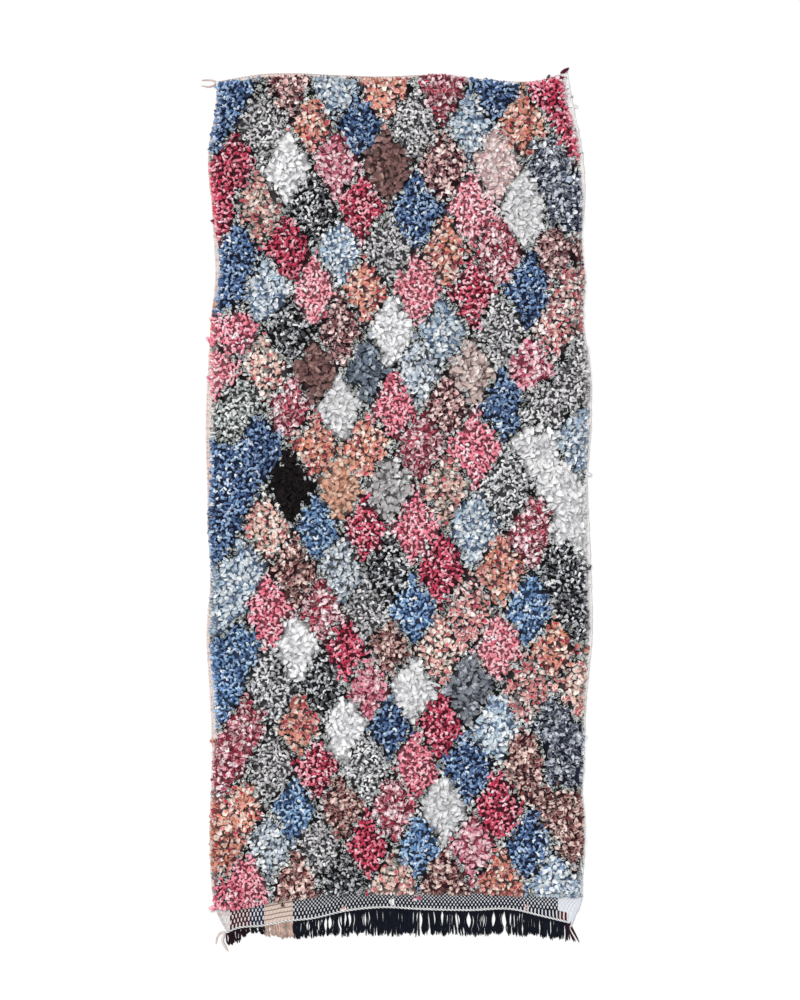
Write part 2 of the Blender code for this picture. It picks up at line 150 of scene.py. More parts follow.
# Rags: colours as seen, red, green and blue from 0 to 255
Rag = namedtuple("Rag", "main light dark spot")
RAGS = {
    "denim": Rag((72, 98, 140), (142, 168, 200), (34, 50, 86), (214, 224, 236)),
    "blue": Rag((94, 126, 168), (160, 188, 214), (54, 80, 122), (226, 234, 242)),
    "rose": Rag((222, 124, 142), (240, 178, 188), (180, 74, 98), (246, 216, 220)),
    "pink": Rag((234, 150, 162), (244, 194, 200), (204, 102, 122), (248, 224, 228)),
    "marl": Rag((190, 66, 92), (236, 162, 174), (122, 26, 50), (246, 220, 224)),
    "crimson": Rag((182, 54, 82), (228, 134, 152), (110, 22, 46), (242, 202, 210)),
    "ash": Rag((160, 158, 160), (206, 204, 206), (92, 90, 94), (230, 228, 230)),
    "pewter": Rag((162, 162, 166), (218, 218, 220), (84, 84, 88), (242, 242, 244)),
    "sage": Rag((154, 158, 158), (206, 210, 208), (92, 96, 96), (232, 234, 232)),
    "silver": Rag((168, 164, 165), (206, 203, 204), (122, 119, 120), (226, 224, 226)),
    "charcoal": Rag((72, 72, 78), (180, 182, 186), (18, 18, 22), (234, 234, 237)),
    "soot": Rag((14, 7, 11), (24, 14, 19), (8, 4, 6), (34, 24, 29)),
    "steel": Rag((92, 104, 120), (150, 162, 176), (52, 60, 74), (198, 206, 216)),
    "white": Rag((232, 231, 232), (244, 243, 244), (204, 204, 208), (220, 220, 224)),
    "slate": Rag((118, 122, 131), (150, 155, 165), (66, 69, 78), (190, 194, 202)),
    "mauve": Rag((124, 90, 88), (154, 118, 114), (78, 50, 52), (180, 146, 140)),
    "taupe": Rag((204, 180, 176), (230, 214, 208), (148, 122, 120), (240, 228, 224)),
    "peach": Rag((208, 160, 138), (226, 188, 168), (190, 128, 100), (244, 220, 204)),
    "plum": Rag((110, 36, 54), (248, 220, 216), (52, 10, 24), (220, 172, 170)),
    "dusty": Rag((126, 54, 60), (244, 218, 210), (60, 16, 26), (214, 174, 164)),
    "cherry": Rag((174, 28, 66), (252, 228, 232), (120, 14, 42), (244, 184, 196)),
    "blush": Rag((232, 138, 162), (250, 222, 226), (182, 48, 86), (244, 200, 208)),
    "ice": Rag((210, 222, 232), (244, 247, 249), (148, 178, 202), (100, 132, 176)),
    "frost": Rag((188, 200, 212), (234, 238, 242), (116, 132, 156), (240, 242, 244)),
    "coral": Rag((226, 140, 112), (250, 228, 216), (182, 40, 66), (228, 150, 148)),
    "salmon": Rag((234, 160, 152), (248, 238, 234), (204, 66, 92), (90, 92, 94)),
    "cream": Rag((236, 192, 178), (250, 236, 228), (206, 92, 104), (120, 126, 118)),
    "petal": Rag((246, 226, 224), (253, 242, 240), (230, 186, 190), (248, 212, 202)),
    "navy": Rag((44, 54, 84), (226, 230, 238), (16, 24, 48), (178, 188, 204)),
    "edging": Rag((24, 24, 28), (236, 238, 238), (176, 184, 178), (212, 216, 214)),
}
RAG_NAMES = tuple(RAGS)

# Lozenges, charted: the pixel row of their middles, the pixel column of each, its rag
CHART = make_table(
    "Lozenges", "row columns rags",
    (92, (232, 289, 335, 385, 442, 494, 551), "denim plum ice coral cherry denim crimson"),
    (124, (212, 264, 309, 358, 414, 469, 523, 575), "denim ash coral denim ash ice coral marl"),
    (165, (231, 288, 336, 387, 443, 495, 549), "crimson white blush mauve plum petal navy"),
    (210, (220, 257, 313, 361, 417, 472, 524, 567),
     "crimson cream charcoal marl denim pink white navy"),
    (252, (238, 288, 340, 386, 447, 499, 560), "denim crimson ice ash coral cherry plum"),
    (290, (225, 271, 314, 366, 420, 474, 529, 572), "denim ice pink coral pink marl denim salmon"),
    (333, (228, 289, 342, 390, 440, 498, 557), "rose charcoal plum white ice ash salmon"),
    (372, (222, 269, 314, 366, 418, 473, 532, 575), "pink cream mauve steel frost taupe blush ash"),
    (405, (238, 289, 342, 393, 447, 504, 540), "sage cherry white rose plum denim ash"),
    (447, (255, 315, 366, 424, 476, 537, 578), "denim coral coral cherry rose white ice"),
    (488, (234, 291, 341, 386, 443, 509, 565), "denim soot peach silver cream pewter white"),
    (529, (222, 267, 318, 366, 416, 473, 530, 575), "denim cream blue marl rose ice cherry white"),
    (570, (241, 294, 341, 386, 439, 500, 566), "ice dusty frost charcoal crimson coral charcoal"),
    (611, (224, 271, 323, 366, 414, 468, 528, 574),
     "ice rose cherry ash blue salmon blue charcoal"),
    (648, (234, 298, 345, 390, 441, 500, 557), "blue white crimson dusty cream pink coral"),
    (688, (222, 272, 323, 368, 412, 468, 524, 575),
     "blue pewter charcoal blush white slate salmon cream"),
    (727, (247, 302, 344, 387, 440, 496, 560), "cherry coral white denim crimson ice navy"),
    (766, (228, 272, 315, 367, 416, 466, 523, 564), "cherry ash marl pewter rose denim dusty navy"),
    (808, (237, 294, 342, 395, 443, 500, 561), "coral blue dusty cherry white crimson dusty"),
    (848, (228, 272, 321, 368, 418, 472, 527, 575),
     "coral frost ash crimson blue blush denim dusty"),
    (880, (243, 297, 344, 392, 443, 500, 557, 586),
     "rose dusty charcoal cream dusty coral ice ice"),
)
LOZENGE_HALF_WIDE = 26 * PIXEL
LOZENGE_HALF_LONG = 40 * PIXEL
BEND_ACROSS, BEND_ALONG = 0.007, 0.008  # how far their sides wander
BEND_SIZES = (0.06, 0.05)  # over what lengths

# Pile pieces: the form of their tufts and the rags in them
PILES = make_table(
    "Pile", "name form rags",
    ("denim", "curl", ("denim", "blue")),
    ("rose", "curl", ("rose", "pink")),
    ("crimson", "curl", ("crimson", "marl")),
    ("ash", "curl", ("ash", "pewter", "sage", "charcoal")),
    ("soft", "puff", ("white", "silver", "slate", "steel", "soot", "mauve", "taupe", "peach")),
    ("plum", "petal", ("plum", "dusty")),
    ("cherry", "petal", ("cherry", "blush")),
    ("ice", "petal", ("ice", "frost")),
    ("coral", "petal", ("coral", "salmon")),
    ("cream", "petal", ("cream", "petal")),
    ("navy", "petal", ("navy",)),
    ("edging", "knot", ("edging",)),
)

# Tuft forms, in metres and radians. Foot and tip are shares of a rag's own brightness: painted
# shade at a tuft's foot and painted light at its top. Bed is the share of the darkest colour that
# the bed keeps under painted shade, and roles are how often a tuft has the main, light, dark and
# spot colour.
Form = namedtuple("Form", "pitch long wide roll rings across foot tip bed blot roles")
FORMS = {
    "curl": Form(
        0.0102, (0.0043, 0.0066), (0.0032, 0.0048), (2.0, 3.7), 6, 4,
        0.66, 1.28, 0.42, 330.0, (0.40, 0.34, 0.16, 0.10),
    ),
    "petal": Form(
        0.0112, (0.013, 0.020), (0.0068, 0.0100), (0.8, 2.1), 6, 5,
        0.46, 1.14, 0.26, 120.0, (0.36, 0.34, 0.16, 0.14),
    ),
    "puff": Form(
        0.0128, (0.017, 0.026), (0.0068, 0.0105), (0.6, 1.8), 7, 5,
        0.76, 1.06, 0.50, 90.0, (0.50, 0.24, 0.16, 0.10),
    ),
    "knot": Form(
        0.0104, (0.011, 0.018), (0.0053, 0.0080), (0.8, 2.0), 5, 4,
        0.48, 1.10, 0.30, 180.0, (0.30, 0.34, 0.20, 0.16),
    ),
}

# How tufts stand, angles in degrees: curls tilt and rise, ribbons rise, fall over and turn
CURL_TILT, CURL_LIFT = (12, 75), (0.0005, 0.0055)
CURL_START = (-0.5, 0.6)  # radians round its arc
# Painted shade at a tuft's foot gives way to painted light over these heights
CURL_SHADED, RIBBON_SHADED = 0.006, 0.010  # height over which a tuft gets lighter
RIBBON_RISE, RIBBON_FALL = (55, 95), (-75, 10)
RIBBON_YAW, RIBBON_TWIST = 0.9, 0.6  # radians to either side
RIBBON_SUNK, RIBBON_LIFT = 0.002, 0.0035  # of its root in the bed, and above that
RIBBON_CRUMPLE = 0.0005

# Rags whose own ground colour shows between the tufts, so that their bed has less painted shade:
# its share of the darkest colour
BED_LESS_SHADED = {
    "cherry": 0.75, "blush": 0.36, "plum": 0.70, "dusty": 0.70,
    "navy": 0.80, "ice": 0.40, "petal": 0.60, "white": 0.80,
}

# Tufts that stray over the selvages and the band: pixel column and row, rag, how many
STRAYS = make_table(
    "Stray", "column row rag count",
    (344, 908, "petal", 9), (527, 907, "petal", 9), (393, 902, "white", 3), (417, 897, "blush", 4),
    (283, 904, "dusty", 4), (218, 905, "rose", 5), (212, 907, "rose", 4), (563, 79, "white", 5),
    (566, 87, "white", 6), (569, 96, "white", 5), (572, 106, "white", 3), (576, 130, "white", 3),
    (580, 152, "white", 3), (549, 80, "charcoal", 5), (587, 567, "charcoal", 7),
    (588, 586, "white", 4), (588, 648, "coral", 4), (586, 678, "cherry", 3), (583, 738, "navy", 3),
    (585, 426, "white", 3), (587, 475, "white", 3), (212, 320, "coral", 2), (210, 521, "coral", 3),
    (213, 741, "coral", 3), (215, 219, "marl", 5), (211, 338, "rose", 7), (210, 378, "rose", 4),
)

# Cut warps, from left to right: where each colour starts and stops, and how it leans
WARPS = make_table(
    "Warp", "name start stop lean_start lean_stop colour",
    ("maroon", -0.4700, -0.4095, 0.003, 0.002, (38, 16, 26)),
    ("black", -0.4080, -0.3675, 0.003, 0.001, (22, 22, 26)),
    ("fawn", -0.3660, -0.2890, 0.001, 0.000, (206, 176, 162)),
    ("navy", -0.2875, 0.4600, 0.000, 0.001, (17, 21, 34)),
    ("plum", 0.4615, 0.4735, 0.001, 0.026, (56, 22, 34)),
)

FRINGE_HIGH = 0.0028
STRAND_RINGS = 9
STRAND_LEAN, STRAND_SWAY = 0.0022, 0.0018  # how far tips and middles stray
CLUMP_LEAN = 0.0030
CLUMP_LONG = (-0.0025, 0.0035)  # how much shorter or longer a clump is
CROSSING_LEAN = 0.0065
STRAND_INSET = 0.0015  # of its root from the cloth's end
STRAND_ENDS = (-0.003, 0.003)  # how much shorter or longer a strand is
CLUMP_STRANDS = 8
FRINGE_SPAN = (-0.4720, 0.5010)  # where its tips may lie, left and right
CLUMP_REACH = 0.0080  # how far a strand leans to the middle of its clump
# Thickness down a strand, where clumps part and where not
FRAY = make_table(
    "Fray", "share parted solid",
    (0.00, 1.50, 1.60),
    (0.15, 1.60, 1.90),
    (0.35, 1.05, 2.20),
    (0.60, 1.50, 2.20),
    (0.85, 2.00, 2.10),
    (1.00, 0.60, 0.60),
)
CROSSING = 0.11  # share of the strands that cross their neighbours
# Where the clumps stand apart, so that the floor shows
OPEN = make_table(
    "Open", "x share",
    (-0.470, 0.15), (-0.400, 0.35), (-0.330, 0.40), (-0.261, 0.30), (-0.236, 0.75), (-0.209, 1.00),
    (-0.151, 0.70), (-0.135, 1.00), (-0.116, 0.40), (-0.091, 1.00), (-0.074, 0.70), (-0.066, 0.05),
    (-0.011, 0.05), (0.005, 0.80), (0.019, 0.05), (0.044, 0.05), (0.060, 0.80), (0.138, 0.50),
    (0.160, 1.00), (0.217, 0.90), (0.253, 0.60), (0.283, 1.00), (0.341, 0.60), (0.352, 0.05),
    (0.440, 0.00), (0.470, 0.40),
)

# Band of checks above the hem: its stretches, their colours and how high each reaches
Band = namedtuple("Band", "start stop high warp weft")
FAWN = Band(-0.368, -0.289, 0.078, (140, 118, 112), (214, 194, 181))
BAND = (
    Band(-0.462, -0.408, 0.078, (70, 28, 40), (206, 202, 198)),
    Band(-0.408, -0.368, 0.078, (26, 32, 56), (208, 208, 210)),
    FAWN,
    Band(-0.289, 0.052, 0.078, (18, 20, 32), (198, 200, 204)),
    Band(0.052, 0.440, 0.078, (14, 18, 32), (206, 208, 214)),
    Band(0.440, 0.466, 0.026, (56, 28, 38), (226, 206, 204)),
)
BAND_DEEP = 0.078
BAND_EDGE = 0.0006  # softness of a colour's limit
Paler = namedtuple("Paler", "share foot full fade")
PALER = Paler(0.13, 0.015, 0.035, 0.060)  # more weft shows in the band's middle
LINE_PITCH = 0.0124  # between the thin lines of the fawn stretch
# Colours of the weft as seen: two in patches, dyed, white on the right, in the band, and stained
WEFT = {
    "pink": (246, 222, 213), "pale": (248, 238, 233), "dyed": (240, 176, 146),
    "white": (252, 250, 250), "band_right": (228, 231, 237), "band_left": (226, 222, 222),
    "stain": (206, 140, 118),
}
# Heights: lowest row, next two, and the fine ones above
CHECK_ROWS = make_table(
    "CheckRow", "x first next fine",
    (-0.47, 0.0150, 0.0130, 0.0095),
    (-0.37, 0.0145, 0.0125, 0.0085),
    (-0.29, 0.0125, 0.0105, 0.0062),
    (-0.16, 0.0115, 0.0082, 0.0052),
    (0.00, 0.0108, 0.0072, 0.0047),
    (0.33, 0.0105, 0.0072, 0.0047),
    (0.38, 0.0180, 0.0080, 0.0050),
    (0.44, 0.0280, 0.0085, 0.0052),
    (0.48, 0.0320, 0.0090, 0.0055),
)
KNOT_PITCH = 0.0080  # between the rows of knots on the back
Specks = namedtuple("Specks", "deep start stop")
TOP_SPECKS = Specks(0.013, -0.21, -0.07)
DYED = make_table("Dyed", "start stop", (0.492, 0.576), (-0.045, -0.020), (-0.650, -0.625))
SELVAGE_STEPS = (0.0, 0.0008, 0.002, 0.0032, 0.0044, 0.0056, 0.0068, 0.008, 0.0092, 0.011)
Steps = namedtuple("Steps", "across along band")
GROUND_STEPS = Steps(76, 74, 0.0030)
HEAD_STEPS = (0.009, 0.006, 0.003, 0.0)  # last rows, down from the top edge
CROWN = 0.012  # from the top edge to the rows before those
HEM_INSET, TOP_INSET = 0.0018, 0.0030  # of the ground from the cloth's ends
SETTLINGS = 4  # rounds in which x and y settle on the curved ends
BUNDLE_WIDE, EDGE_WIDE = 0.0045, 0.0004  # a selvage's ridge, and the ground's thin edge
BACK_RAISED, BACK_WAVE, BACK_ENDS = 0.0002, 0.0008, 0.0012  # heights of the back off the floor
BARE_FROM = 0.009  # from the side to where the selvage's ridges end

# Cords of two plies, and how far each lies inside the cloth's end
PLY_OFF, PLY_WIDE = 0.56, 0.58  # of the cord's radius: a ply's place and its own radius
CORD_STEPS = 12  # to a turn of the twist
CORDS = make_table(
    "Cord", "name node end inset radius twist colour",
    ("hem_twine", "hem_cord", HEM_END, 0.0000, 0.0029, 0.0210, (253, 253, 254)),
    ("top_twine", "top_cord", TOP_END, 0.0019, 0.0020, 0.0180, (250, 238, 232)),
)

# Loose ends: middle and width of the thread or rag
TOP_TIE = make_table(
    "Bend", "x y wide",
    (-0.5400, 1.1800, 0.0016), (-0.5250, 1.1812, 0.0024), (-0.5090, 1.1795, 0.0026),
    (-0.5018, 1.1748, 0.0030), (-0.5065, 1.1668, 0.0026), (-0.5220, 1.1625, 0.0024),
    (-0.5410, 1.1655, 0.0016),
)
HEM_TAILS = make_table(
    "Bend", "x y wide",
    (-0.5010, -1.1945, 0.0016), (-0.4970, -1.1740, 0.0026), (-0.4865, -1.1625, 0.0028),
    (-0.4775, -1.1655, 0.0032), (-0.4835, -1.1850, 0.0032), (-0.4755, -1.2020, 0.0030),
    (-0.4680, -1.2138, 0.0018),
)
CORNER_RAG = make_table(
    "Bend", "x y wide",
    (0.4470, 1.1999, 0.0040), (0.4550, 1.2041, 0.0085), (0.4630, 1.2092, 0.0075),
    (0.4700, 1.2146, 0.0020),
)
THREADS = make_table(
    "Thread", "name slot bends colour fluff",
    ("top_tie", "cord", TOP_TIE, (226, 204, 198), 2.0),
    ("hem_tails", "cord", HEM_TAILS, (232, 220, 216), 2.3),
    ("corner_rag", "rag", CORNER_RAG, (92, 30, 50), 1.2),
)

Selvage = namedtuple("Selvage", "start stop thick")
SELVAGE = Selvage(-1.148, 1.178, 0.0027)
BED_STEPS = (156, 72)  # rows and columns of its grid
BED_RIM = (0.0, 0.003, 0.008, 0.015)  # finer steps at its sides, as shares of its width
# Painted shade at the bed's rim: the share of a rag's own colour that the rim keeps
BED_RIM_SHADED_TO = 0.5  # share of a rag's own colour that its rim shows
BED_INSET = 0.0035  # from the tufts' own rim
BED_FOOT = 0.0044
BED_START, BED_LONG = -1.066, 2.25  # before it takes the pile's curved ends
BED_ROLL, BED_ROLL_SIZE = 0.0012, 0.030  # slow rise and fall
BED_UNEVEN = 0.0015  # from point to point
BED_EDGE = 0.004  # nearer to the rim than this, it is even

# Cloth in the shaders: how its fibres change its colour and roughness, sheen and depth of bumps
Finish = namedtuple("Finish", "tone fibre rough uneven sheen deep")
RAG_FINISH = Finish(0.72, 0.56, 0.78, 0.20, 0.12, 0.0012)
YARN_FINISH = Finish(0.70, 0.60, 0.80, 0.15, 0.04, 0.0008)
GROUND_FINISH = Finish(0.82, 0.42, 0.82, 0.15, 0.05, 0.0011)
RAG_FIBRES, RAG_FOLDS = 1500.0, 420.0  # scales of noise
YARN_FIBRES, YARN_PATCHES = 1300.0, 60.0
WEAVE_STRAY, WEAVE_GAPS, STAIN_TURNS = 45.0, 160.0, 110.0

# Sizes that can be set, in metres
SIZES = make_table(
    "Size", "key name about metres",
    ("bed_high", "Bed height", "Height of the packed rag under the tufts", 0.0145),
    ("mound", "Mound", "Rise of each lozenge's middle", 0.0040),
    ("rim_high", "Rim height", "Height of the bed at the pile's rim", 0.0065),
    ("rim_round", "Rim rounding", "How far in the bed reaches its full height", 0.024),
    ("edging_wide", "Edging", "Half width of the black line round a lozenge", 0.0115),
    ("ground_thick", "Ground thickness", "Thickness of the woven ground", 0.0040),
    ("check_wide", "Check width", "One light and one dark check of the band", 0.0099),
    ("wrap_pitch", "Selvage wraps", "Distance between turns of weft round the selvage", 0.0042),
    ("strand_pitch", "Strand pitch", "Distance between cut warps", 0.0019),
    ("strand_wide", "Strand width", "Thickness of one cut warp", 0.0020),
)

SEEDS = {"chart": 3, "bed": 5, "rim": 7, "cloth": 13, "pile": 100, "fringe": 200}
SMALL = 1e-9
UP = np.array([0.0, 0.0, 1.0])


def smooth_through(at, knots, values):
    """Value at many places of a soft curve through a table's rows."""
    knots = np.asarray(knots, float)
    values = np.asarray(values, float)
    slopes = np.gradient(values, knots)
    row = np.clip(np.searchsorted(knots, at) - 1, 0, len(knots) - 2)
    wide = knots[row + 1] - knots[row]
    t = np.clip((at - knots[row]) / wide, 0.0, 1.0)
    rise = t * t * (3 - 2 * t)
    start = t * (1 - t) ** 2 * wide * slopes[row]
    stop = t * t * (t - 1) * wide * slopes[row + 1]
    return values[row] * (1 - rise) + values[row + 1] * rise + start + stop


def column(table, name):
    return [getattr(row, name) for row in table]


def between(at, table, key, name):
    """Value of a table's column, straight from row to row."""
    return np.interp(at, column(table, key), column(table, name))


def side(y, name):
    return smooth_through(y, column(SIDES, "y"), column(SIDES, name))


def end(x, table):
    return smooth_through(x, column(table, "x"), column(table, "y"))


def pile_left(y):
    return side(y, "left") + between(y, BARE, "y", "left")


def pile_right(y):
    return side(y, "right") - between(y, BARE, "y", "right")


def pile_top(x):
    return end(x, TOP_END) - between(x, TOP_BARE, "x", "bare")


def pile_bottom(x):
    return end(x, PILE_END)


def to_rim(x, y):
    """Distance to the nearest side of the pile, and the way out over that side."""
    gaps = np.stack([x - pile_left(y), pile_right(y) - x, pile_top(x) - y, y - pile_bottom(x)])
    ways = np.array([(-1.0, 0.0), (1.0, 0.0), (0.0, 1.0), (0.0, -1.0)])
    return gaps.min(axis=0), ways[gaps.argmin(axis=0)]


def metres(pixel_column, pixel_row):
    """Place on the rug of a pixel of the photograph."""
    x = (np.asarray(pixel_column, float) - ORIGIN_PIXEL[0]) * PIXEL
    y = (ORIGIN_PIXEL[1] - np.asarray(pixel_row, float)) * PIXEL
    return x, y


def soft_noise(x, y, size, seed):
    """Smooth random field from about -1 to 1, with features of the given size."""
    rng = np.random.default_rng(seed)
    total = np.zeros(np.shape(x))
    waves = 14
    for turn, shift in zip(rng.uniform(0, 2 * np.pi, waves), rng.uniform(0, 2 * np.pi, waves)):
        pace = rng.uniform(0.6, 1.5) * 2 * np.pi / size
        total += np.sin(pace * (x * np.cos(turn) + y * np.sin(turn)) + shift)
    return total / np.sqrt(waves / 2) * 0.6


LOZENGE_X, LOZENGE_Y = metres(
    [place for row in CHART for place in row.columns],
    [row.row for row in CHART for place in row.columns],
)
LOZENGE_RAG = np.array([RAG_NAMES.index(rag) for row in CHART for rag in row.rags.split()])


def rag_at(x, y):
    """Rag and lozenge of each place, and how far the nearest other rag is, 0 between two."""
    bend_x = x + BEND_ACROSS * soft_noise(x, y, BEND_SIZES[0], SEEDS["chart"])
    bend_y = y + BEND_ALONG * soft_noise(x, y, BEND_SIZES[1], SEEDS["chart"] + 1)
    far = np.abs(bend_x[..., None] - LOZENGE_X) / LOZENGE_HALF_WIDE
    far += np.abs(bend_y[..., None] - LOZENGE_Y) / LOZENGE_HALF_LONG
    nearest = far.argmin(axis=-1)
    rag = LOZENGE_RAG[nearest]
    others = np.where(LOZENGE_RAG == rag[..., None], np.inf, far)
    return rag, nearest, others.min(axis=-1) - far.min(axis=-1)


def bed_height(x, y):
    """Height of the pile's bed, from which the tufts rise."""
    rug = settings()
    inside = np.clip(to_rim(x, y)[0] / rug.rim_round, 0.0, 1.0)
    rise = np.sqrt(1 - (1 - inside) ** 2)
    middle = np.clip(rag_at(x, y)[2], 0.0, 1.0)
    uneven = BED_ROLL * soft_noise(x, y, BED_ROLL_SIZE, SEEDS["bed"])
    full = rug.bed_high + rug.mound * (middle - 0.35) + uneven
    return rug.rim_high + (full - rug.rim_high) * rise


def linear(colour):
    """Scene-linear colour of one from 0 to 1 as seen."""
    shown = np.asarray(colour, float)
    return np.where(shown <= 0.04045, shown / 12.92, ((shown + 0.055) / 1.055) ** 2.4)


def seen(colour):
    """Linear colour of one from 0 to 255 as seen."""
    return linear(np.array(colour) / 255)


def settings():
    return bpy.context.scene.rug_sizes


def rag_colours():
    """Linear colours of every rag: rag, role, then red, green and blue."""
    colours = bpy.context.scene.rug_colours
    keys = [[f"{rag}_{role}" for role in Rag._fields] for rag in RAGS]
    return np.array([[linear(getattr(colours, key)) for key in row] for row in keys])


class Wire:
    """A shader socket, on which Python's own operators add Math nodes."""

    def __init__(self, tree, socket=None):
        self.tree = tree
        self.socket = socket

    def node(self, kind, options, sockets, out=0):
        """Add a node with its options, then its sockets' values or links, and give its output."""
        made = self.tree.nodes.new("ShaderNode" + kind)
        for name, value in options.items():
            setattr(made, name, value)
        for key, value in sockets.items():
            if isinstance(value, Wire):
                self.tree.links.new(value.socket, made.inputs[key])
            else:
                made.inputs[key].default_value = value
        return Wire(self.tree, made.outputs[out])

    def maths(self, operation, *values):
        return self.node("Math", {"operation": operation}, dict(enumerate(values)))

    def mix(self, share, first, second, way="MIX"):
        """Mix two colours, by name of way, by a share from 0 to 1."""
        options = {"data_type": "RGBA", "blend_type": way}
        return self.node("Mix", options, {0: share, 6: first, 7: second}, out=2)

    def step(self, low, high):
        """Soft step of this value from 0 at low to 1 at high."""
        options = {"interpolation_type": "SMOOTHSTEP"}
        return self.node("MapRange", options, {0: self, 1: low, 2: high, 3: 0.0, 4: 1.0})

    def wave(self, pitch):
        """Sine of this value, one wave to a pitch."""
        return self.maths("SINE", self * (2 * np.pi / pitch))

    def __add__(self, other):
        return self.maths("ADD", self, other)

    def __radd__(self, other):
        return self.maths("ADD", other, self)

    def __sub__(self, other):
        return self.maths("SUBTRACT", self, other)

    def __rsub__(self, other):
        return self.maths("SUBTRACT", other, self)

    def __mul__(self, other):
        return self.maths("MULTIPLY", self, other)

    def __rmul__(self, other):
        return self.maths("MULTIPLY", other, self)


def new_material(name):
    """Material with a bare Principled shader, and the wire and shader to build it with."""
    material = bpy.data.materials.new(name)
    material.use_nodes = True
    shader = material.node_tree.nodes["Principled BSDF"]
    shader.inputs["Specular IOR Level"].default_value = 0.1
    return material, Wire(material.node_tree), shader


def noise(wire, scale, detail, vector):
    sockets = {"Scale": scale, "Detail": detail, "Roughness": 0.6, "Vector": vector}
    return wire.node("TexNoise", {}, sockets)


def object_places(wire):
    return wire.node("TexCoord", {}, {}, out="Object")


def attribute(wire, name, out="Color"):
    return wire.node("Attribute", {"attribute_name": name}, {}, out=out)


def parts(wire, vector):
    """The three parts of a vector."""
    return [wire.node("SeparateXYZ", {}, {0: vector}, out=part) for part in range(3)]


def socket_colour(colour):
    """Linear colour, with its alpha, of one from 0 to 255 as seen."""
    return (*seen(colour), 1.0)


def finish_cloth(wire, shader, finish, colour, fibres, relief):
    """Fibres in a cloth's colour and roughness, its sheen, and bumps from a wire of heights."""
    tone = finish.tone + finish.fibre * fibres
    shade = wire.node("CombineColor", {}, {0: tone, 1: tone, 2: tone})
    sockets = {"Height": relief, "Distance": finish.deep, "Strength": 1.0}
    varied = {
        "Base Color": wire.mix(1.0, colour, shade, "MULTIPLY"),
        "Roughness": finish.rough + finish.uneven * fibres,
        "Normal": wire.node("Bump", {}, sockets),
    }
    for name, value in varied.items():
        wire.tree.links.new(value.socket, shader.inputs[name])
    shader.inputs["Sheen Weight"].default_value = finish.sheen


def rag_material(name, form):
    """Cut rag: two printed or marled colours, fibres, and the weave's or knit's small relief."""
    material, wire, shader = new_material(name)
    places = object_places(wire)
    blots = noise(wire, FORMS[form].blot, 1.5, places).step(0.53, 0.60)
    fibres = noise(wire, RAG_FIBRES, 3.0, places)
    folds = noise(wire, RAG_FOLDS, 2.0, places)
    printed = wire.mix(blots, attribute(wire, "cloth"), attribute(wire, "print"))
    finish_cloth(wire, shader, RAG_FINISH, printed, fibres, folds + 0.4 * fibres)
    return material


def yarn_material(name, colour, deep):
    """Twisted yarn: a colour with darker patches, stray fibres, and the mesh's shade, which is
    painted shade in a cord's crevices and a random tone on fringe strands.
    """
    material, wire, shader = new_material(name)
    places = object_places(wire)
    fibres = noise(wire, YARN_FIBRES, 4.0, places)
    patches = noise(wire, YARN_PATCHES, 2.0, places).step(0.35, 0.7)
    yarn = wire.mix(patches, socket_colour(colour), (*(seen(colour) * deep), 1.0))
    yarn = wire.mix(1.0, yarn, attribute(wire, "shade"), "MULTIPLY")
    finish_cloth(wire, shader, YARN_FINISH, yarn, fibres, fibres)
    return material


def ground_material():
    """Woven ground: checked band, wrapped selvages, and knots in rows on its back."""
    rug = settings()
    material, wire, shader = new_material("woven_ground")
    places = object_places(wire)
    across, along = parts(wire, places)[:2]
    above_hem, check_row, from_side = parts(wire, attribute(wire, "weave", "Vector"))
    cloth, warp = attribute(wire, "cloth"), attribute(wire, "print")
    turns = noise(wire, STAIN_TURNS, 1.0, wire.node("CombineXYZ", {}, {1: along})).step(0.48, 0.62)
    stained = 0.6 * turns * (1 - across.step(-0.1, 0.1))
    cloth = wire.mix(stained, cloth, socket_colour(WEFT["stain"]))
    for stretch in BAND:
        after = across.step(stretch.start - BAND_EDGE, stretch.start + BAND_EDGE)
        before = 1 - across.step(stretch.stop - BAND_EDGE, stretch.stop + BAND_EDGE)
        here = after * before * (1 - above_hem.step(stretch.high - BAND_EDGE, stretch.high))
        warp = wire.mix(here, warp, socket_colour(stretch.warp))
        cloth = wire.mix(here, cloth, socket_colour(stretch.weft))
    stray = noise(wire, WEAVE_STRAY, 2.0, places)
    gaps = noise(wire, WEAVE_GAPS, 2.0, places)
    rows = (check_row + 0.3 * (stray - 0.5)).wave(2)
    crossing = rows * (across + 0.0035 * stray).wave(rug.check_wide)
    paler = PALER.share * above_hem.step(PALER.foot, PALER.full)
    paler = paler * (1 - above_hem.step(PALER.fade, BAND_DEEP))
    checks = (crossing + paler + 0.7 * (gaps - 0.5)).step(0.20, 0.38)
    lines = (above_hem + 0.004 * stray).wave(LINE_PITCH).step(0.45, 0.9)
    plain = across.step(FAWN.start, FAWN.start + BAND_EDGE)
    plain = plain * (1 - across.step(FAWN.stop - BAND_EDGE, FAWN.stop))
    plain = plain * (1 - above_hem.step(BAND_DEEP - BAND_EDGE, BAND_DEEP))
    wraps = (along + 0.4 * from_side).wave(rug.wrap_pitch)
    bare = from_side.step(BARE_FROM, BARE_FROM + 0.003)
    grains = checks * (1 - plain) + (1 - lines) * plain
    grains = grains * bare + wraps.step(-0.8, 0.1) * (1 - bare)
    fibres = noise(wire, YARN_FIBRES, 3.0, places)
    relief = crossing * bare + 0.5 * wraps * (1 - bare) + 0.4 * fibres
    finish_cloth(wire, shader, GROUND_FINISH, wire.mix(grains, warp, cloth), fibres, relief)
    return material


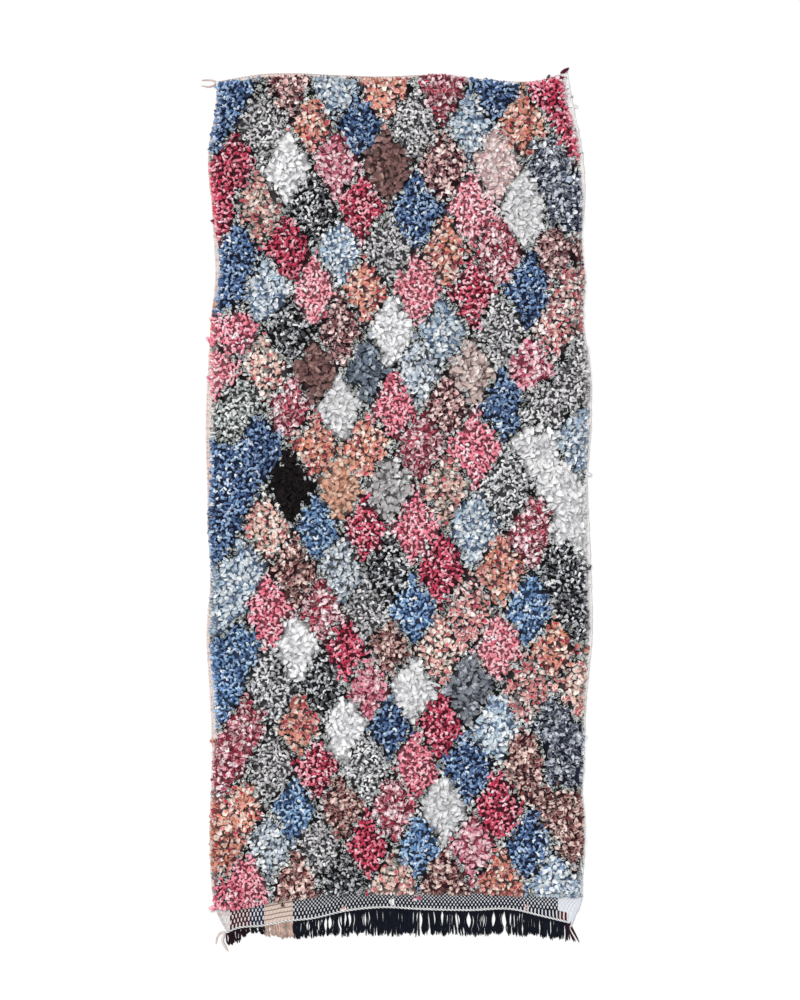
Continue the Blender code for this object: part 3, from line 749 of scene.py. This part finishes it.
def join(name, points, faces, attributes, material):
    """One mesh object from points and four-cornered faces."""
    mesh = bpy.data.meshes.new(name)
    points = np.ascontiguousarray(points, np.float32).reshape(-1, 3)
    faces = np.ascontiguousarray(faces, np.int32).reshape(-1, 4)
    mesh.vertices.add(len(points))
    mesh.vertices.foreach_set("co", points.ravel())
    mesh.loops.add(faces.size)
    mesh.loops.foreach_set("vertex_index", faces.ravel())
    mesh.polygons.add(len(faces))
    mesh.polygons.foreach_set("loop_start", np.arange(0, faces.size, 4, dtype=np.int32))
    mesh.polygons.foreach_set("use_smooth", np.ones(len(faces), bool))
    mesh.update(calc_edges=True)
    for key, values in attributes.items():
        values = np.asarray(values, np.float32).reshape(len(points), -1)
        if key == "weave":
            layer = mesh.attributes.new(key, "FLOAT_VECTOR", "POINT")
            layer.data.foreach_set("vector", values.ravel())
        else:
            rgba = np.ones((len(points), 4), np.float32)
            rgba[:, :3] = values
            layer = mesh.color_attributes.new(key, "FLOAT_COLOR", "POINT")
            layer.data.foreach_set("color", rgba.ravel())
    mesh.materials.append(material)
    piece = bpy.data.objects.new(name, mesh)
    bpy.context.collection.objects.link(piece)
    return piece


def dress(piece, slot, *nodes):
    """Ride on the rug and stand for the frame's nodes, which it hides; the slot is not used."""
    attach(piece, "root")
    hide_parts(*nodes)
    return piece


def grid_faces(rows, columns, wrap=False):
    """Faces of a grid of points, its last column joined to its first where it wraps."""
    last = columns if wrap else columns - 1
    row, first = np.meshgrid(np.arange(rows - 1) * columns, np.arange(last), indexing="ij")
    beside = (first + 1) % columns
    above = row + columns
    corners = [row + first, row + beside, above + beside, above + first]
    return np.stack(corners, axis=-1).reshape(-1, 4)


def repeat_faces(faces, points_each, count):
    return faces[None] + (np.arange(count) * points_each)[:, None, None]


def unit(v):
    return v / np.maximum(np.linalg.norm(v, axis=-1, keepdims=True), SMALL)


def level(x, y):
    """Level ways from their two parts, and the ways beside them."""
    flat = np.zeros(x.shape)
    return np.stack([x, y, flat], axis=-1), np.stack([-y, x, flat], axis=-1)


def swing(first, second, angle):
    """The first way, turned towards the second by an angle."""
    return first * np.cos(angle)[..., None] + second * np.sin(angle)[..., None]


def tubes(paths, radii, sides, turn=0.0):
    """Points and faces of tubes: paths is tube, ring, xyz, and radii is tube, ring."""
    ahead = unit(np.gradient(paths, axis=1))
    lean = unit(np.cross(ahead, np.broadcast_to(UP, paths.shape)) + SMALL)
    rise = np.cross(lean, ahead)
    angles = turn + np.arange(sides) * 2 * np.pi / sides
    ring = swing(lean[:, :, None], rise[:, :, None], angles)
    points = paths[:, :, None] + ring * radii[:, :, None, None]
    count, rings = paths.shape[:2]
    faces = repeat_faces(grid_faces(rings, sides, wrap=True), rings * sides, count)
    return points, faces


def scatter(pitch, seed):
    """Uneven rows of tuft places over the pile, and one row along its rim."""
    rng = np.random.default_rng(seed)
    x, y = np.meshgrid(np.arange(*SPAN_X, pitch), np.arange(*SPAN_Y, pitch * ROW_PITCH))
    x[1::2] += pitch / 2
    x = (x + rng.uniform(-JITTER, JITTER, x.shape) * pitch).ravel()
    y = (y + rng.uniform(-JITTER, JITTER, y.shape) * pitch).ravel()
    along = np.arange(*SPAN_RIM, RIM_ROW.pitch)
    inset = RIM_ROW.inset
    x = np.concatenate([x, pile_left(along) + inset, pile_right(along) - inset, along, along])
    y = np.concatenate([y, along, along, pile_top(along) - inset, pile_bottom(along) + inset])
    ragged = RIM_CLEAR + RIM_RAGGED * soft_noise(x, y, RIM_WAVE, SEEDS["rim"])
    inside = to_rim(x, y)[0] > ragged
    return x[inside], y[inside], rng


def tuft_roots(pile, seed):
    """Places of a pile piece's tufts: x, y, rag, lozenge, how far inside it, and random source."""
    x, y, rng = scatter(FORMS[pile.form].pitch, seed)
    moved_x = x + rng.normal(0, RAG_MIX, len(x))
    moved_y = y + rng.normal(0, RAG_MIX, len(x))
    rag, lozenge, inside = rag_at(moved_x, moved_y)
    edge = 2 * settings().edging_wide / LOZENGE_HALF_WIDE
    outline = inside < edge * (0.65 + 0.55 * soft_noise(x, y, 0.022, SEEDS["chart"] + 2))
    wanted = [RAG_NAMES.index(name) for name in pile.rags]
    if pile.form == "knot":
        mine = outline
        rag = np.full(len(rag), wanted[0])
    else:
        mine = ~outline & np.isin(rag, wanted)
    roots = [x[mine], y[mine], rag[mine], lozenge[mine], inside[mine]]
    for stray in STRAYS:
        if stray.rag in pile.rags:
            middle = metres(stray.column, stray.row)
            places = np.array(middle)[:, None] + rng.normal(0, STRAY_SPREAD, (2, stray.count))
            one = np.ones(stray.count, int)
            more = (*places, one * RAG_NAMES.index(stray.rag), one, one)
            roots = [np.concatenate(pair) for pair in zip(roots, more)]
    return (*roots, rng)


def outward_lean(x, y, rng):
    """Heading of each tuft, turned outwards near the rim, and how near the rim it is."""
    gap, way = to_rim(x, y)
    near = np.clip(1 - gap / RIM_NEAR, 0.0, 1.0)
    heading = rng.uniform(0, 2 * np.pi, len(x))
    loose = np.stack([np.cos(heading), np.sin(heading)], axis=1)
    return unit(loose * (1 - near[:, None] * 0.8) + way * near[:, None] * 1.3), near


def tuft_base(x, y):
    """Height that a tuft rises from, lower at the rim, where the tufts hide the pile's side."""
    near = np.clip(1 - to_rim(x, y)[0] / RIM_ROW.reach, 0.0, 1.0)
    return bed_height(x, y) - RIM_ROW.sunk * near


def make_curls(x, y, rng, form):
    """Thin rag ends that curl: tubes along tilted arcs."""
    count = len(x)
    lean, near = outward_lean(x, y, rng)
    radius = rng.uniform(*form.long, count)
    wide = rng.uniform(*form.wide, count)
    sweep = rng.uniform(*form.roll, count)
    tilt = np.radians(rng.uniform(*CURL_TILT, count))
    start = rng.uniform(*CURL_START, count)
    flat, beside = level(lean[:, 0], lean[:, 1])
    over = swing(beside, UP, tilt)
    base = tuft_base(x, y) + rng.uniform(*CURL_LIFT, count) * (1 - 0.6 * near)
    middle = np.stack([x, y, base + 0.35 * radius * np.sin(tilt)], axis=1)
    share = np.linspace(0, 1, form.rings)
    angle = start[:, None] + sweep[:, None] * share
    stretch = 1 + 0.25 * np.sin(3 * angle + start[:, None] * 5)
    arm = swing(flat[:, None], over[:, None], angle)
    paths = middle[:, None] + arm * (radius[:, None] * stretch)[..., None]
    taper = 0.45 + 0.55 * np.sin(np.pi * np.clip(share * 0.9 + 0.08, 0, 1))
    crumple = rng.uniform(0.75, 1.25, (count, form.rings))
    points, faces = tubes(paths, wide[:, None] * taper * crumple, form.across, turn=0.4)
    # Height share for the painted shade at the foot and the painted light at the top
    rise = np.clip((points[..., 2] - base[:, None, None]) / CURL_SHADED + 0.45, 0.0, 1.0)
    return points, faces, rise, np.zeros_like(rise)


def make_ribbons(x, y, rng, form):
    """Wide rag ends: ribbons that rise, bend over and roll up at their edges."""
    count = len(x)
    lean, near = outward_lean(x, y, rng)
    long = rng.uniform(*form.long, count) * (1 - 0.35 * near)
    wide = rng.uniform(*form.wide, count) * (1 - 0.25 * near)
    roll = rng.uniform(*form.roll, count) * rng.choice([1.0, 1.0, -1.0], count)
    share = np.linspace(0, 1, form.rings)
    rise_start = np.radians(rng.uniform(*RIBBON_RISE, count))
    rise_stop = np.radians(rng.uniform(*RIBBON_FALL, count))
    pitch = rise_start[:, None] * (1 - share) + rise_stop[:, None] * share
    yaw = rng.uniform(-RIBBON_YAW, RIBBON_YAW, count)[:, None] * share
    flat, beside = level(
        lean[:, :1] * np.cos(yaw) - lean[:, 1:] * np.sin(yaw),
        lean[:, :1] * np.sin(yaw) + lean[:, 1:] * np.cos(yaw),
    )
    ahead = swing(flat, UP, pitch)
    steps = ahead * (long / (form.rings - 1))[:, None, None]
    base = tuft_base(x, y) - RIBBON_SUNK + rng.uniform(0, RIBBON_LIFT, count) * (1 - near)
    root = np.stack([x, y, base], axis=1) - flat[:, 0] * (long * 0.25)[:, None]
    paths = root[:, None] + np.cumsum(steps, axis=1) - steps[:, :1]
    twist = rng.uniform(-RIBBON_TWIST, RIBBON_TWIST, count)[:, None] * share
    lateral = swing(beside, np.cross(ahead, beside), twist)
    normal = np.cross(lateral, ahead)
    profile = 0.30 + 0.70 * np.sin(np.pi * np.clip(0.12 + 0.80 * share, 0, 1))
    place = np.linspace(-1, 1, form.across)
    turn = roll[:, None] * place
    reach = np.sin(turn) / roll[:, None]
    lift = (1 - np.cos(turn)) / roll[:, None]
    width = wide[:, None] * profile
    across = lateral[:, :, None] * (width[:, :, None] * reach[:, None])[..., None]
    down = normal[:, :, None] * (width[:, :, None] * lift[:, None])[..., None]
    points = paths[:, :, None] + across - down
    points = points + rng.normal(0, RIBBON_CRUMPLE, points.shape)
    faces = repeat_faces(grid_faces(form.rings, form.across), form.rings * form.across, count)
    # Height share for the painted shade at the foot and the painted light at the top
    rise = np.clip((points[..., 2] - base[:, None, None]) / RIBBON_SHADED + 0.15, 0.0, 1.0)
    edge = np.abs(place)[None, None] * np.ones_like(rise)
    tip = np.broadcast_to(share[None, :, None], rise.shape)
    pale = np.clip((edge - 0.35) * 1.6, 0, 1) * np.where(roll > 0, 1.0, 0.35)[:, None, None]
    pale = np.maximum(pale, np.clip((tip - 0.78) * 4, 0, 1) * 0.8)
    return points, faces, rise, pale


def colour_tufts(form, rag, lozenge, inside, rng, rise, pale):
    """Two colours for every point: the cloth's own and its print's, with painted shade at a tuft's
    foot and painted light at its top.
    """
    palette = rag_colours()
    count = len(rag)
    role = rng.choice(4, count, p=form.roles)
    other = rng.choice(4, count, p=form.roles)
    if form is FORMS["petal"]:
        ringed = rng.random(count) < 0.30 * (1 - np.clip(inside, 0, 1))
        role = np.where(ringed, Rag._fields.index("dark"), role)
    if form is FORMS["knot"]:
        other = np.where(role == 0, 1, 0)
    own = palette[rag, role]
    second = palette[rag, other]
    light = palette[rag, Rag._fields.index("light")]
    tone = (1 + 0.08 * np.sin(lozenge * 2.4))[:, None] * rng.uniform(0.88, 1.10, (count, 1))
    own, second, light = ((colour * tone)[:, None, None] for colour in (own, second, light))
    blend = 0.6 * pale[..., None]
    cloth = own * (1 - blend) + light * blend
    second = second * (1 - 0.6 * blend) + light * 0.6 * blend
    # Painted shade towards a tuft's foot and painted light towards its top
    shade = (form.foot + (form.tip - form.foot) * rise)[..., None]
    return np.clip(cloth * shade, 0, 1), np.clip(second * shade, 0, 1)


def build_pile(pile, seed):
    """One piece of pile: all tufts of a few rags."""
    form = FORMS[pile.form]
    x, y, rag, lozenge, inside, rng = tuft_roots(pile, seed)
    make = make_curls if pile.form == "curl" else make_ribbons
    points, faces, rise, pale = make(x, y, rng, form)
    high = points[..., 2]
    pressed = TUFT_TOP + (high - TUFT_TOP) * TUFT_PRESS
    points[..., 2] = np.where(high > TUFT_TOP, pressed, np.maximum(high, TUFT_FOOT))
    cloth, second = colour_tufts(form, rag, lozenge, inside, rng, rise, pale)
    material = rag_material("rag_" + pile.name, pile.form)
    piece = join("pile_" + pile.name, points, faces, {"cloth": cloth, "print": second}, material)
    return dress(piece, "pile", "pile")


def bed_shade_colours(rag, inside):
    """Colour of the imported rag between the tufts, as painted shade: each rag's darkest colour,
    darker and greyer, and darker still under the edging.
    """
    usual = {name: FORMS[pile.form].bed for pile in PILES for name in pile.rags}
    # Painted shade: each rag's darkest colour, darker by its share and then greyer
    share = np.array([BED_LESS_SHADED.get(name, usual[name]) for name in RAG_NAMES])[rag]
    colour = rag_colours()[rag].min(axis=-2) * share[..., None]
    grey = np.where(share < 0.35, 0.75, 0.25)[..., None]
    colour = colour * (1 - grey) + colour.mean(axis=-1, keepdims=True) * grey
    # Painted shade, darker still, under the black edging's tufts
    colour[inside < 0.25] = rag_colours()[RAG_NAMES.index("edging"), 0] * 0.4
    return colour


def build_bed():
    """Bed of packed rag under the tufts, dark with painted shade."""
    rows, columns = BED_STEPS
    rim = np.array(BED_RIM)
    steps = np.linspace(0.025, 0.975, columns - 2 * len(rim))
    u, v = np.meshgrid(np.concatenate([rim, steps, 1 - rim[::-1]]), np.linspace(0, 1, rows))
    y = BED_START + BED_LONG * v
    ragged = BED_INSET * (1 + 0.8 * soft_noise(u, y, 0.05, SEEDS["rim"] + 1))
    x = (pile_left(y) + ragged) * (1 - u) + (pile_right(y) - ragged) * u
    y = (pile_bottom(x) + BED_INSET) * (1 - v) + (pile_top(x) - BED_INSET / 2) * v
    z = bed_height(x, y)
    from_rim = to_rim(x, y)[0]
    rng = np.random.default_rng(SEEDS["bed"])
    z += rng.uniform(-BED_UNEVEN, BED_UNEVEN, z.shape) * (from_rim > BED_EDGE)
    z[[0, -1], :] = BED_FOOT
    z[:, [0, -1]] = BED_FOOT
    rag, _, inside = rag_at(x, y)
    # Painted shade over the bed, less dark towards the pile's rim
    near = np.clip(1 - from_rim / RIM_NEAR, 0, 1)[..., None]
    colour = bed_shade_colours(rag, inside) * (1 - near) + rag_colours()[rag, 0] * BED_RIM_SHADED_TO * near
    attributes = {"cloth": colour, "print": colour * 1.5}
    points = np.stack([x, y, z], axis=-1)
    faces = grid_faces(rows, columns)
    piece = join("pile_bed", points, faces, attributes, rag_material("rag_bed", "knot"))
    return dress(piece, "pile", "pile")


def check_rows(x, above_hem):
    """Number of the row of checks, and past the band of knots, counted up from the hem."""
    heights = ("first", "next", "fine")
    first, following, fine = (between(x, CHECK_ROWS, "x", name) for name in heights)
    in_band = np.minimum(above_hem, BAND_DEEP)
    over = in_band - first
    row = np.where(over < 0, in_band / first, 1 + over / following)
    row = np.where(over > 2 * following, 3 + (over - 2 * following) / fine, row)
    return row + (above_hem - in_band) / KNOT_PITCH


def ground_colours(x, y):
    """Weft and warp colour of each place of the ground, and how far it is above the hem."""
    above_hem, below_top = y - end(x, HEM_END), end(x, TOP_END) - y
    patch = np.clip(0.5 + 0.9 * soft_noise(y * 0, y, 0.22, SEEDS["cloth"]), 0, 1)[..., None]
    cloth = seen(WEFT["pink"]) * patch + seen(WEFT["pale"]) * (1 - patch)
    for stretch in DYED:
        here = (x < 0) & (y > stretch.start) & (y < stretch.stop)
        cloth = np.where(here[..., None], seen(WEFT["dyed"]), cloth)
    white = np.clip((x - 0.1) * 8, 0, 0.85)[..., None]
    cloth = cloth * (1 - white) + seen(WEFT["white"]) * white
    in_band = (above_hem < BAND_DEEP)[..., None]
    corner = np.where((x > 0)[..., None], seen(WEFT["band_right"]), seen(WEFT["band_left"]))
    cloth = np.where(in_band, corner, cloth)
    warp = cloth * 0.84
    specked = soft_noise(x, y * 0, 0.03, SEEDS["cloth"] + 1) > -0.25
    specked &= (x > TOP_SPECKS.start) & (x < TOP_SPECKS.stop) & (below_top < TOP_SPECKS.deep)
    warp[specked] = seen(WARPS[1].colour)
    return cloth, warp, above_hem


def build_ground():
    """Woven cloth with a checked band, rounded selvages and a knotted back."""
    rug = settings()
    lip = np.array(SELVAGE_STEPS)
    inner = np.linspace(0, 1, GROUND_STEPS.across + 2)[1:-1]
    band = np.arange(0, BAND_DEEP, GROUND_STEPS.band)
    body = np.linspace(0, 1, GROUND_STEPS.along)
    head = np.array(HEAD_STEPS)
    rows = len(band) + len(body) + len(head)
    columns = 2 * len(lip) + len(inner)
    share = np.concatenate([np.zeros(len(lip)), inner, np.ones(len(lip))])
    inset = np.concatenate([lip, lip[-1] * (1 - 2 * inner), -lip[::-1]])
    y = np.repeat(np.linspace(-1.1, 1.2, rows)[:, None], columns, axis=1)
    for _ in range(SETTLINGS):
        left, right = side(y, "left"), side(y, "right")
        x = left * (1 - share) + right * share + inset
        hem = end(x, HEM_END) + HEM_INSET
        top = end(x, TOP_END) - TOP_INSET
        low = hem[: len(band)] + band[:, None]
        foot = hem[len(band) : -len(head)] + BAND_DEEP
        crown = top[len(band) : -len(head)] - CROWN
        high = top[-len(head) :] - head[:, None]
        y = np.concatenate([low, foot + (crown - foot) * body[:, None], high])
    from_side = np.minimum(x - left, right - x)
    bundle = np.abs(np.sin(np.pi * np.clip(from_side / BUNDLE_WIDE, 0, 2)))
    edge = from_side < EDGE_WIDE
    thick = rug.ground_thick
    upper_z = np.where(edge, thick * 0.55, thick * (0.72 + 0.28 * bundle))
    back = BACK_RAISED + BACK_WAVE * (1 - bundle) * (from_side < BARE_FROM)
    lower_z = np.where(edge, thick * 0.40, back)
    lower_z[[0, -1]] = BACK_ENDS
    points = np.concatenate([np.stack([x, y, z], axis=-1) for z in (upper_z, lower_z)])
    face = grid_faces(rows, columns)
    below = rows * columns
    index = np.arange(below).reshape(rows, columns)
    rim = np.concatenate([index[0, :-1], index[:-1, -1], index[-1, :0:-1], index[:0:-1, 0]])
    ahead = np.roll(rim, -1)
    walls = np.stack([rim, rim + below, ahead + below, ahead], axis=1)
    faces = np.concatenate([face, face[:, ::-1] + below, walls])
    cloth, warp, above_hem = ground_colours(x, y)
    knots = rag_colours()[rag_at(x, y)[0], 0] * 0.8
    knotted = ((to_rim(x, y)[0] > 0.002) & (above_hem > BAND_DEEP))[..., None]
    weave = np.stack([above_hem, check_rows(x, above_hem), from_side], axis=-1)
    attributes = {
        "cloth": np.concatenate([cloth, cloth]),
        "print": np.concatenate([warp, np.where(knotted, knots, warp)]),
        "weave": np.concatenate([weave, weave]),
    }
    piece = join("ground_cloth", points, faces, attributes, ground_material())
    return dress(piece, "ground", "ground")


def build_selvages():
    """Bundled outer warps of both selvages, with a swell at each turn of the weft."""
    y = np.arange(SELVAGE.start, SELVAGE.stop, settings().wrap_pitch)
    rng = np.random.default_rng(SEEDS["cloth"] + 2)
    paths = []
    radii = []
    for name, inward in (("left", 1), ("right", -1)):
        slow = soft_noise(y, y * 0, 0.04, SEEDS["cloth"] + 3)
        swell = 1 + 0.16 * rng.standard_normal(len(y)) + 0.2 * slow
        radius = SELVAGE.thick * np.clip(swell, 0.6, 1.45)
        paths.append(np.stack([side(y, name) + inward * SELVAGE.thick, y, radius * 1.02], axis=1))
        radii.append(radius)
    points, faces = tubes(np.stack(paths), np.stack(radii), 6)
    x, y = points[..., 0], points[..., 1]
    cloth, warp, above_hem = ground_colours(x, y)
    weave = np.stack([above_hem, y * 0, y * 0], axis=-1)
    attributes = {"cloth": cloth, "print": warp, "weave": weave}
    piece = join("selvage_bundles", points, faces, attributes, ground_material())
    return dress(piece, "ground", "ground")


def build_cord(cord):
    """Cord of two plies twined about each other, along one end of the cloth."""
    start, stop = (corner[0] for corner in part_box(cord.node))
    x = np.linspace(start + 0.001, stop - 0.001, int((stop - start) / cord.twist * CORD_STEPS))
    y = end(x, cord.end) - cord.inset
    run = np.concatenate([[0], np.cumsum(np.hypot(np.diff(x), np.diff(y)))])
    paths = []
    for ply in (0.0, np.pi):
        angle = 2 * np.pi * run / cord.twist + ply
        off = cord.radius * PLY_OFF
        z = cord.radius + off * np.sin(angle)
        paths.append(np.stack([x, y + off * np.cos(angle), z], axis=1))
    points, faces = tubes(np.stack(paths), np.full((2, len(x)), cord.radius * PLY_WIDE), 6)
    # Painted shade in the crevices between the plies, darker nearer the cord's middle
    from_middle = np.hypot(points[..., 1] - y[None, :, None], points[..., 2] - cord.radius)
    shade = 0.22 + 0.78 * np.clip((from_middle / cord.radius - 0.40) / 0.5, 0, 1)
    points[..., 2] = np.maximum(points[..., 2], 0.0)
    shade = np.repeat(shade[..., None], 3, axis=-1)
    material = yarn_material(cord.name, cord.colour, 0.85)
    piece = join(cord.name, points, faces, {"shade": shade}, material)
    return dress(piece, "cord", cord.node)


def build_fringe(warp, seed):
    """Cut warps of one colour: finer strands than the frame's, thicker where they fray."""
    rug = settings()
    rng = np.random.default_rng(seed)
    count = max(int((warp.stop - warp.start) / rug.strand_pitch), 6)
    root = np.linspace(warp.start, warp.stop, count)
    along = (root - warp.start) / (warp.stop - warp.start)
    tip = root + warp.lean_start + (warp.lean_stop - warp.lean_start) * along
    tip += rng.normal(0, STRAND_LEAN, count)
    parted = between(root, OPEN, "x", "share")
    clump = np.cumsum(rng.random(count) < 1 / CLUMP_STRANDS)
    clump_lean = rng.normal(0, CLUMP_LEAN, clump[-1] + 1)[clump] * (0.3 + 0.7 * parted)
    clump_long = rng.uniform(*CLUMP_LONG, clump[-1] + 1)[clump]
    middle = np.array([root[clump == one].mean() for one in clump])
    crossing = rng.normal(0, CROSSING_LEAN, count) * (rng.random(count) < CROSSING)
    tip = np.clip(tip + clump_lean + crossing, *FRINGE_SPAN)
    loose = np.clip(parted * (1.0 + 0.5 * soft_noise(root, root * 0, 0.02, seed)), 0.0, 1.0)
    loose = np.where(crossing == 0, loose, 0.0)[:, None]
    to_middle = np.clip(middle - root, -CLUMP_REACH, CLUMP_REACH)[:, None]
    y_root = end(np.clip(root, HEM_END[0].x, HEM_END[-1].x), HEM_END) - STRAND_INSET
    y_tip = end(tip, FRINGE_END) + rng.uniform(*STRAND_ENDS, count) + clump_long
    y_tip += 0.8 * np.abs(to_middle[:, 0])
    share = np.linspace(0, 1, STRAND_RINGS)
    sway = rng.normal(0, STRAND_SWAY, (count, 1)) * np.sin(np.pi * share)
    path_x = root[:, None] + (tip - root)[:, None] * share**1.3 + sway
    slit = np.sin(np.pi * np.clip((share - 0.06) / 0.74, 0, 1))
    point = np.clip((share - 0.78) / 0.22, 0, 1)
    gathered = (0.10 + 0.45 * parted)[:, None] * point
    path_x += to_middle * (loose * slit + gathered)
    path_y = y_root[:, None] + (y_tip - y_root)[:, None] * share
    layer = rng.uniform(0.35, 0.75, (count, 1)) * FRINGE_HIGH
    path_z = np.broadcast_to(layer, path_x.shape)
    thin, solid = (between(share, FRAY, "share", name) for name in ("parted", "solid"))
    frayed = solid + (thin - solid) * parted[:, None]
    radii = rug.strand_wide / 2 * rng.uniform(0.8, 1.2, (count, 1)) * frayed
    points, faces = tubes(np.stack([path_x, path_y, path_z], axis=-1), radii, 4)
    points[..., 2] = np.clip(points[..., 2], 0.0, FRINGE_HIGH)
    shade = np.broadcast_to(rng.uniform(0.75, 1.25, (count, 1, 1, 1)), points.shape)
    material = yarn_material(warp.name, warp.colour, 0.55)
    piece = join("warps_" + warp.name, points, faces, {"shade": shade}, material)
    return dress(piece, "warp_" + warp.name, "fringe_" + warp.name)


def build_thread(thread):
    """Loose end: a soft thread or rag along a few points."""
    places = np.array(thread.bends)
    way = np.linspace(0, 1, len(places))
    fine = np.linspace(0, 1, len(places) * 7)
    x, y, wide = (smooth_through(fine, way, places[:, part]) for part in range(3))
    radius = wide / 2 * thread.fluff
    points, faces = tubes(np.stack([x, y, radius * 0.9], axis=-1)[None], radius[None], 8)
    points[..., 2] = np.maximum(points[..., 2], 0.0)
    material = yarn_material(thread.name, thread.colour, 0.8)
    piece = join(thread.name + "_thread", points, faces, {"shade": np.ones(points.shape)}, material)
    return dress(piece, thread.slot, thread.name)


class RugSizes(bpy.types.PropertyGroup):
    """Sizes of the rug's pile, weave and fringe."""


for size in SIZES:
    RugSizes.__annotations__[size.key] = bpy.props.FloatProperty(
        name=size.name, description=size.about, default=size.metres, unit="LENGTH"
    )


class RugColours(bpy.types.PropertyGroup):
    """Colours of the rags, four for each."""


for rag_name, rag_row in RAGS.items():
    for role_name, seen_colour in zip(Rag._fields, rag_row):
        RugColours.__annotations__[f"{rag_name}_{role_name}"] = bpy.props.FloatVectorProperty(
            name=f"{rag_name.capitalize()} {role_name}",
            description=f"The {role_name} colour of the {rag_name} rag",
            subtype="COLOR_GAMMA",
            size=3,
            min=0.0,
            max=1.0,
            default=tuple(part / 255 for part in seen_colour),
        )


class RUG_OT_stage(bpy.types.Operator):
    """Make the floor, the studio light and the photograph's camera"""

    bl_idname = "rug.stage"
    bl_label = "Stage"

    def execute(self, context):
        scene = context.scene
        scene.view_settings.view_transform = "Standard"
        world = bpy.data.worlds.new("studio")
        world.use_nodes = True
        background = world.node_tree.nodes["Background"]
        background.inputs["Color"].default_value = (1.0, 1.0, 1.0, 1.0)
        background.inputs["Strength"].default_value = WORLD_STRENGTH
        scene.world = world
        sun = bpy.data.lights.new("studio_light", "SUN")
        sun.energy = SUN_STRENGTH
        sun.angle = np.radians(SUN_SIZE)
        lamp = bpy.data.objects.new("studio_light", sun)
        lamp.rotation_euler = np.radians(SUN_TURN)
        scene.collection.objects.link(lamp)
        lens = bpy.data.cameras.new("camera")
        lens.sensor_width = SENSOR
        lens.lens = SENSOR * CAMERA_HIGH / (PHOTO_HIGH * PIXEL)
        lens.clip_end = 100
        camera = bpy.data.objects.new("camera", lens)
        x, y = metres(PHOTO_WIDE / 2, PHOTO_HIGH / 2)
        camera.location = (x, y, CAMERA_HIGH)
        scene.collection.objects.link(camera)
        scene.camera = camera
        floor_mesh = bpy.data.meshes.new("floor")
        far = FLOOR_REACH
        corners = [(-far, -far, 0), (far, -far, 0), (far, far, 0), (-far, far, 0)]
        floor_mesh.from_pydata(corners, [], [(0, 1, 2, 3)])
        material, _, shader = new_material("pale_floor")
        shader.inputs["Base Color"].default_value = FLOOR_COLOUR
        shader.inputs["Roughness"].default_value = FLOOR_ROUGH
        floor_mesh.materials.append(material)
        floor = bpy.data.objects.new("floor", floor_mesh)
        floor.location.z = -FLOOR_SUNK
        scene.collection.objects.link(floor)
        return {"FINISHED"}


class RUG_OT_pile(bpy.types.Operator):
    """Make the bed of rag and all its tufts"""

    bl_idname = "rug.pile"
    bl_label = "Rag pile"

    def execute(self, context):
        build_bed()
        for number, pile in enumerate(PILES):
            build_pile(pile, SEEDS["pile"] + number)
        return {"FINISHED"}


class RUG_OT_cords(bpy.types.Operator):
    """Make the twined cords at both ends"""

    bl_idname = "rug.cords"
    bl_label = "Cords"

    def execute(self, context):
        for cord in CORDS:
            build_cord(cord)
        return {"FINISHED"}


class RUG_OT_fringe(bpy.types.Operator):
    """Make the cut warps of each colour"""

    bl_idname = "rug.fringe"
    bl_label = "Fringe"

    def execute(self, context):
        for number, warp in enumerate(WARPS):
            build_fringe(warp, SEEDS["fringe"] + number)
        return {"FINISHED"}


class RUG_OT_loose_ends(bpy.types.Operator):
    """Make the loose ends at three corners"""

    bl_idname = "rug.loose_ends"
    bl_label = "Loose ends"

    def execute(self, context):
        for thread in THREADS:
            build_thread(thread)
        return {"FINISHED"}


class RUG_OT_ground(bpy.types.Operator):
    """Make the woven ground and its selvages"""

    bl_idname = "rug.ground"
    bl_label = "Woven ground"

    def execute(self, context):
        build_selvages()
        ground = build_ground()
        return {"FINISHED"}


class RUG_PT_panel(bpy.types.Panel):
    """Rug's sizes, colours and pieces"""

    bl_label = "Boucherouite rug"
    bl_idname = "RUG_PT_panel"
    bl_space_type = "VIEW_3D"
    bl_region_type = "UI"
    bl_category = "Rug"

    def draw(self, context):
        layout = self.layout
        for operator in OPERATORS:
            layout.operator(operator.bl_idname)
        for name in RugSizes.__annotations__:
            layout.prop(context.scene.rug_sizes, name)
        for name in RugColours.__annotations__:
            layout.prop(context.scene.rug_colours, name)


OPERATORS = (
    RUG_OT_stage, RUG_OT_pile, RUG_OT_cords, RUG_OT_fringe, RUG_OT_loose_ends, RUG_OT_ground,
)
CLASSES = (RugSizes, RugColours, *OPERATORS, RUG_PT_panel)


def register():
    for item in CLASSES:
        bpy.utils.register_class(item)
    bpy.types.Scene.rug_sizes = bpy.props.PointerProperty(type=RugSizes)
    bpy.types.Scene.rug_colours = bpy.props.PointerProperty(type=RugColours)


def unregister():
    del bpy.types.Scene.rug_colours
    del bpy.types.Scene.rug_sizes
    for item in reversed(CLASSES):
        bpy.utils.unregister_class(item)


def main():
    register()
    bpy.ops.rug.stage()
    bpy.ops.rug.pile()
    bpy.ops.rug.cords()
    bpy.ops.rug.fringe()
    bpy.ops.rug.loose_ends()
    bpy.ops.rug.ground()


if __name__ == "__main__":
    main()
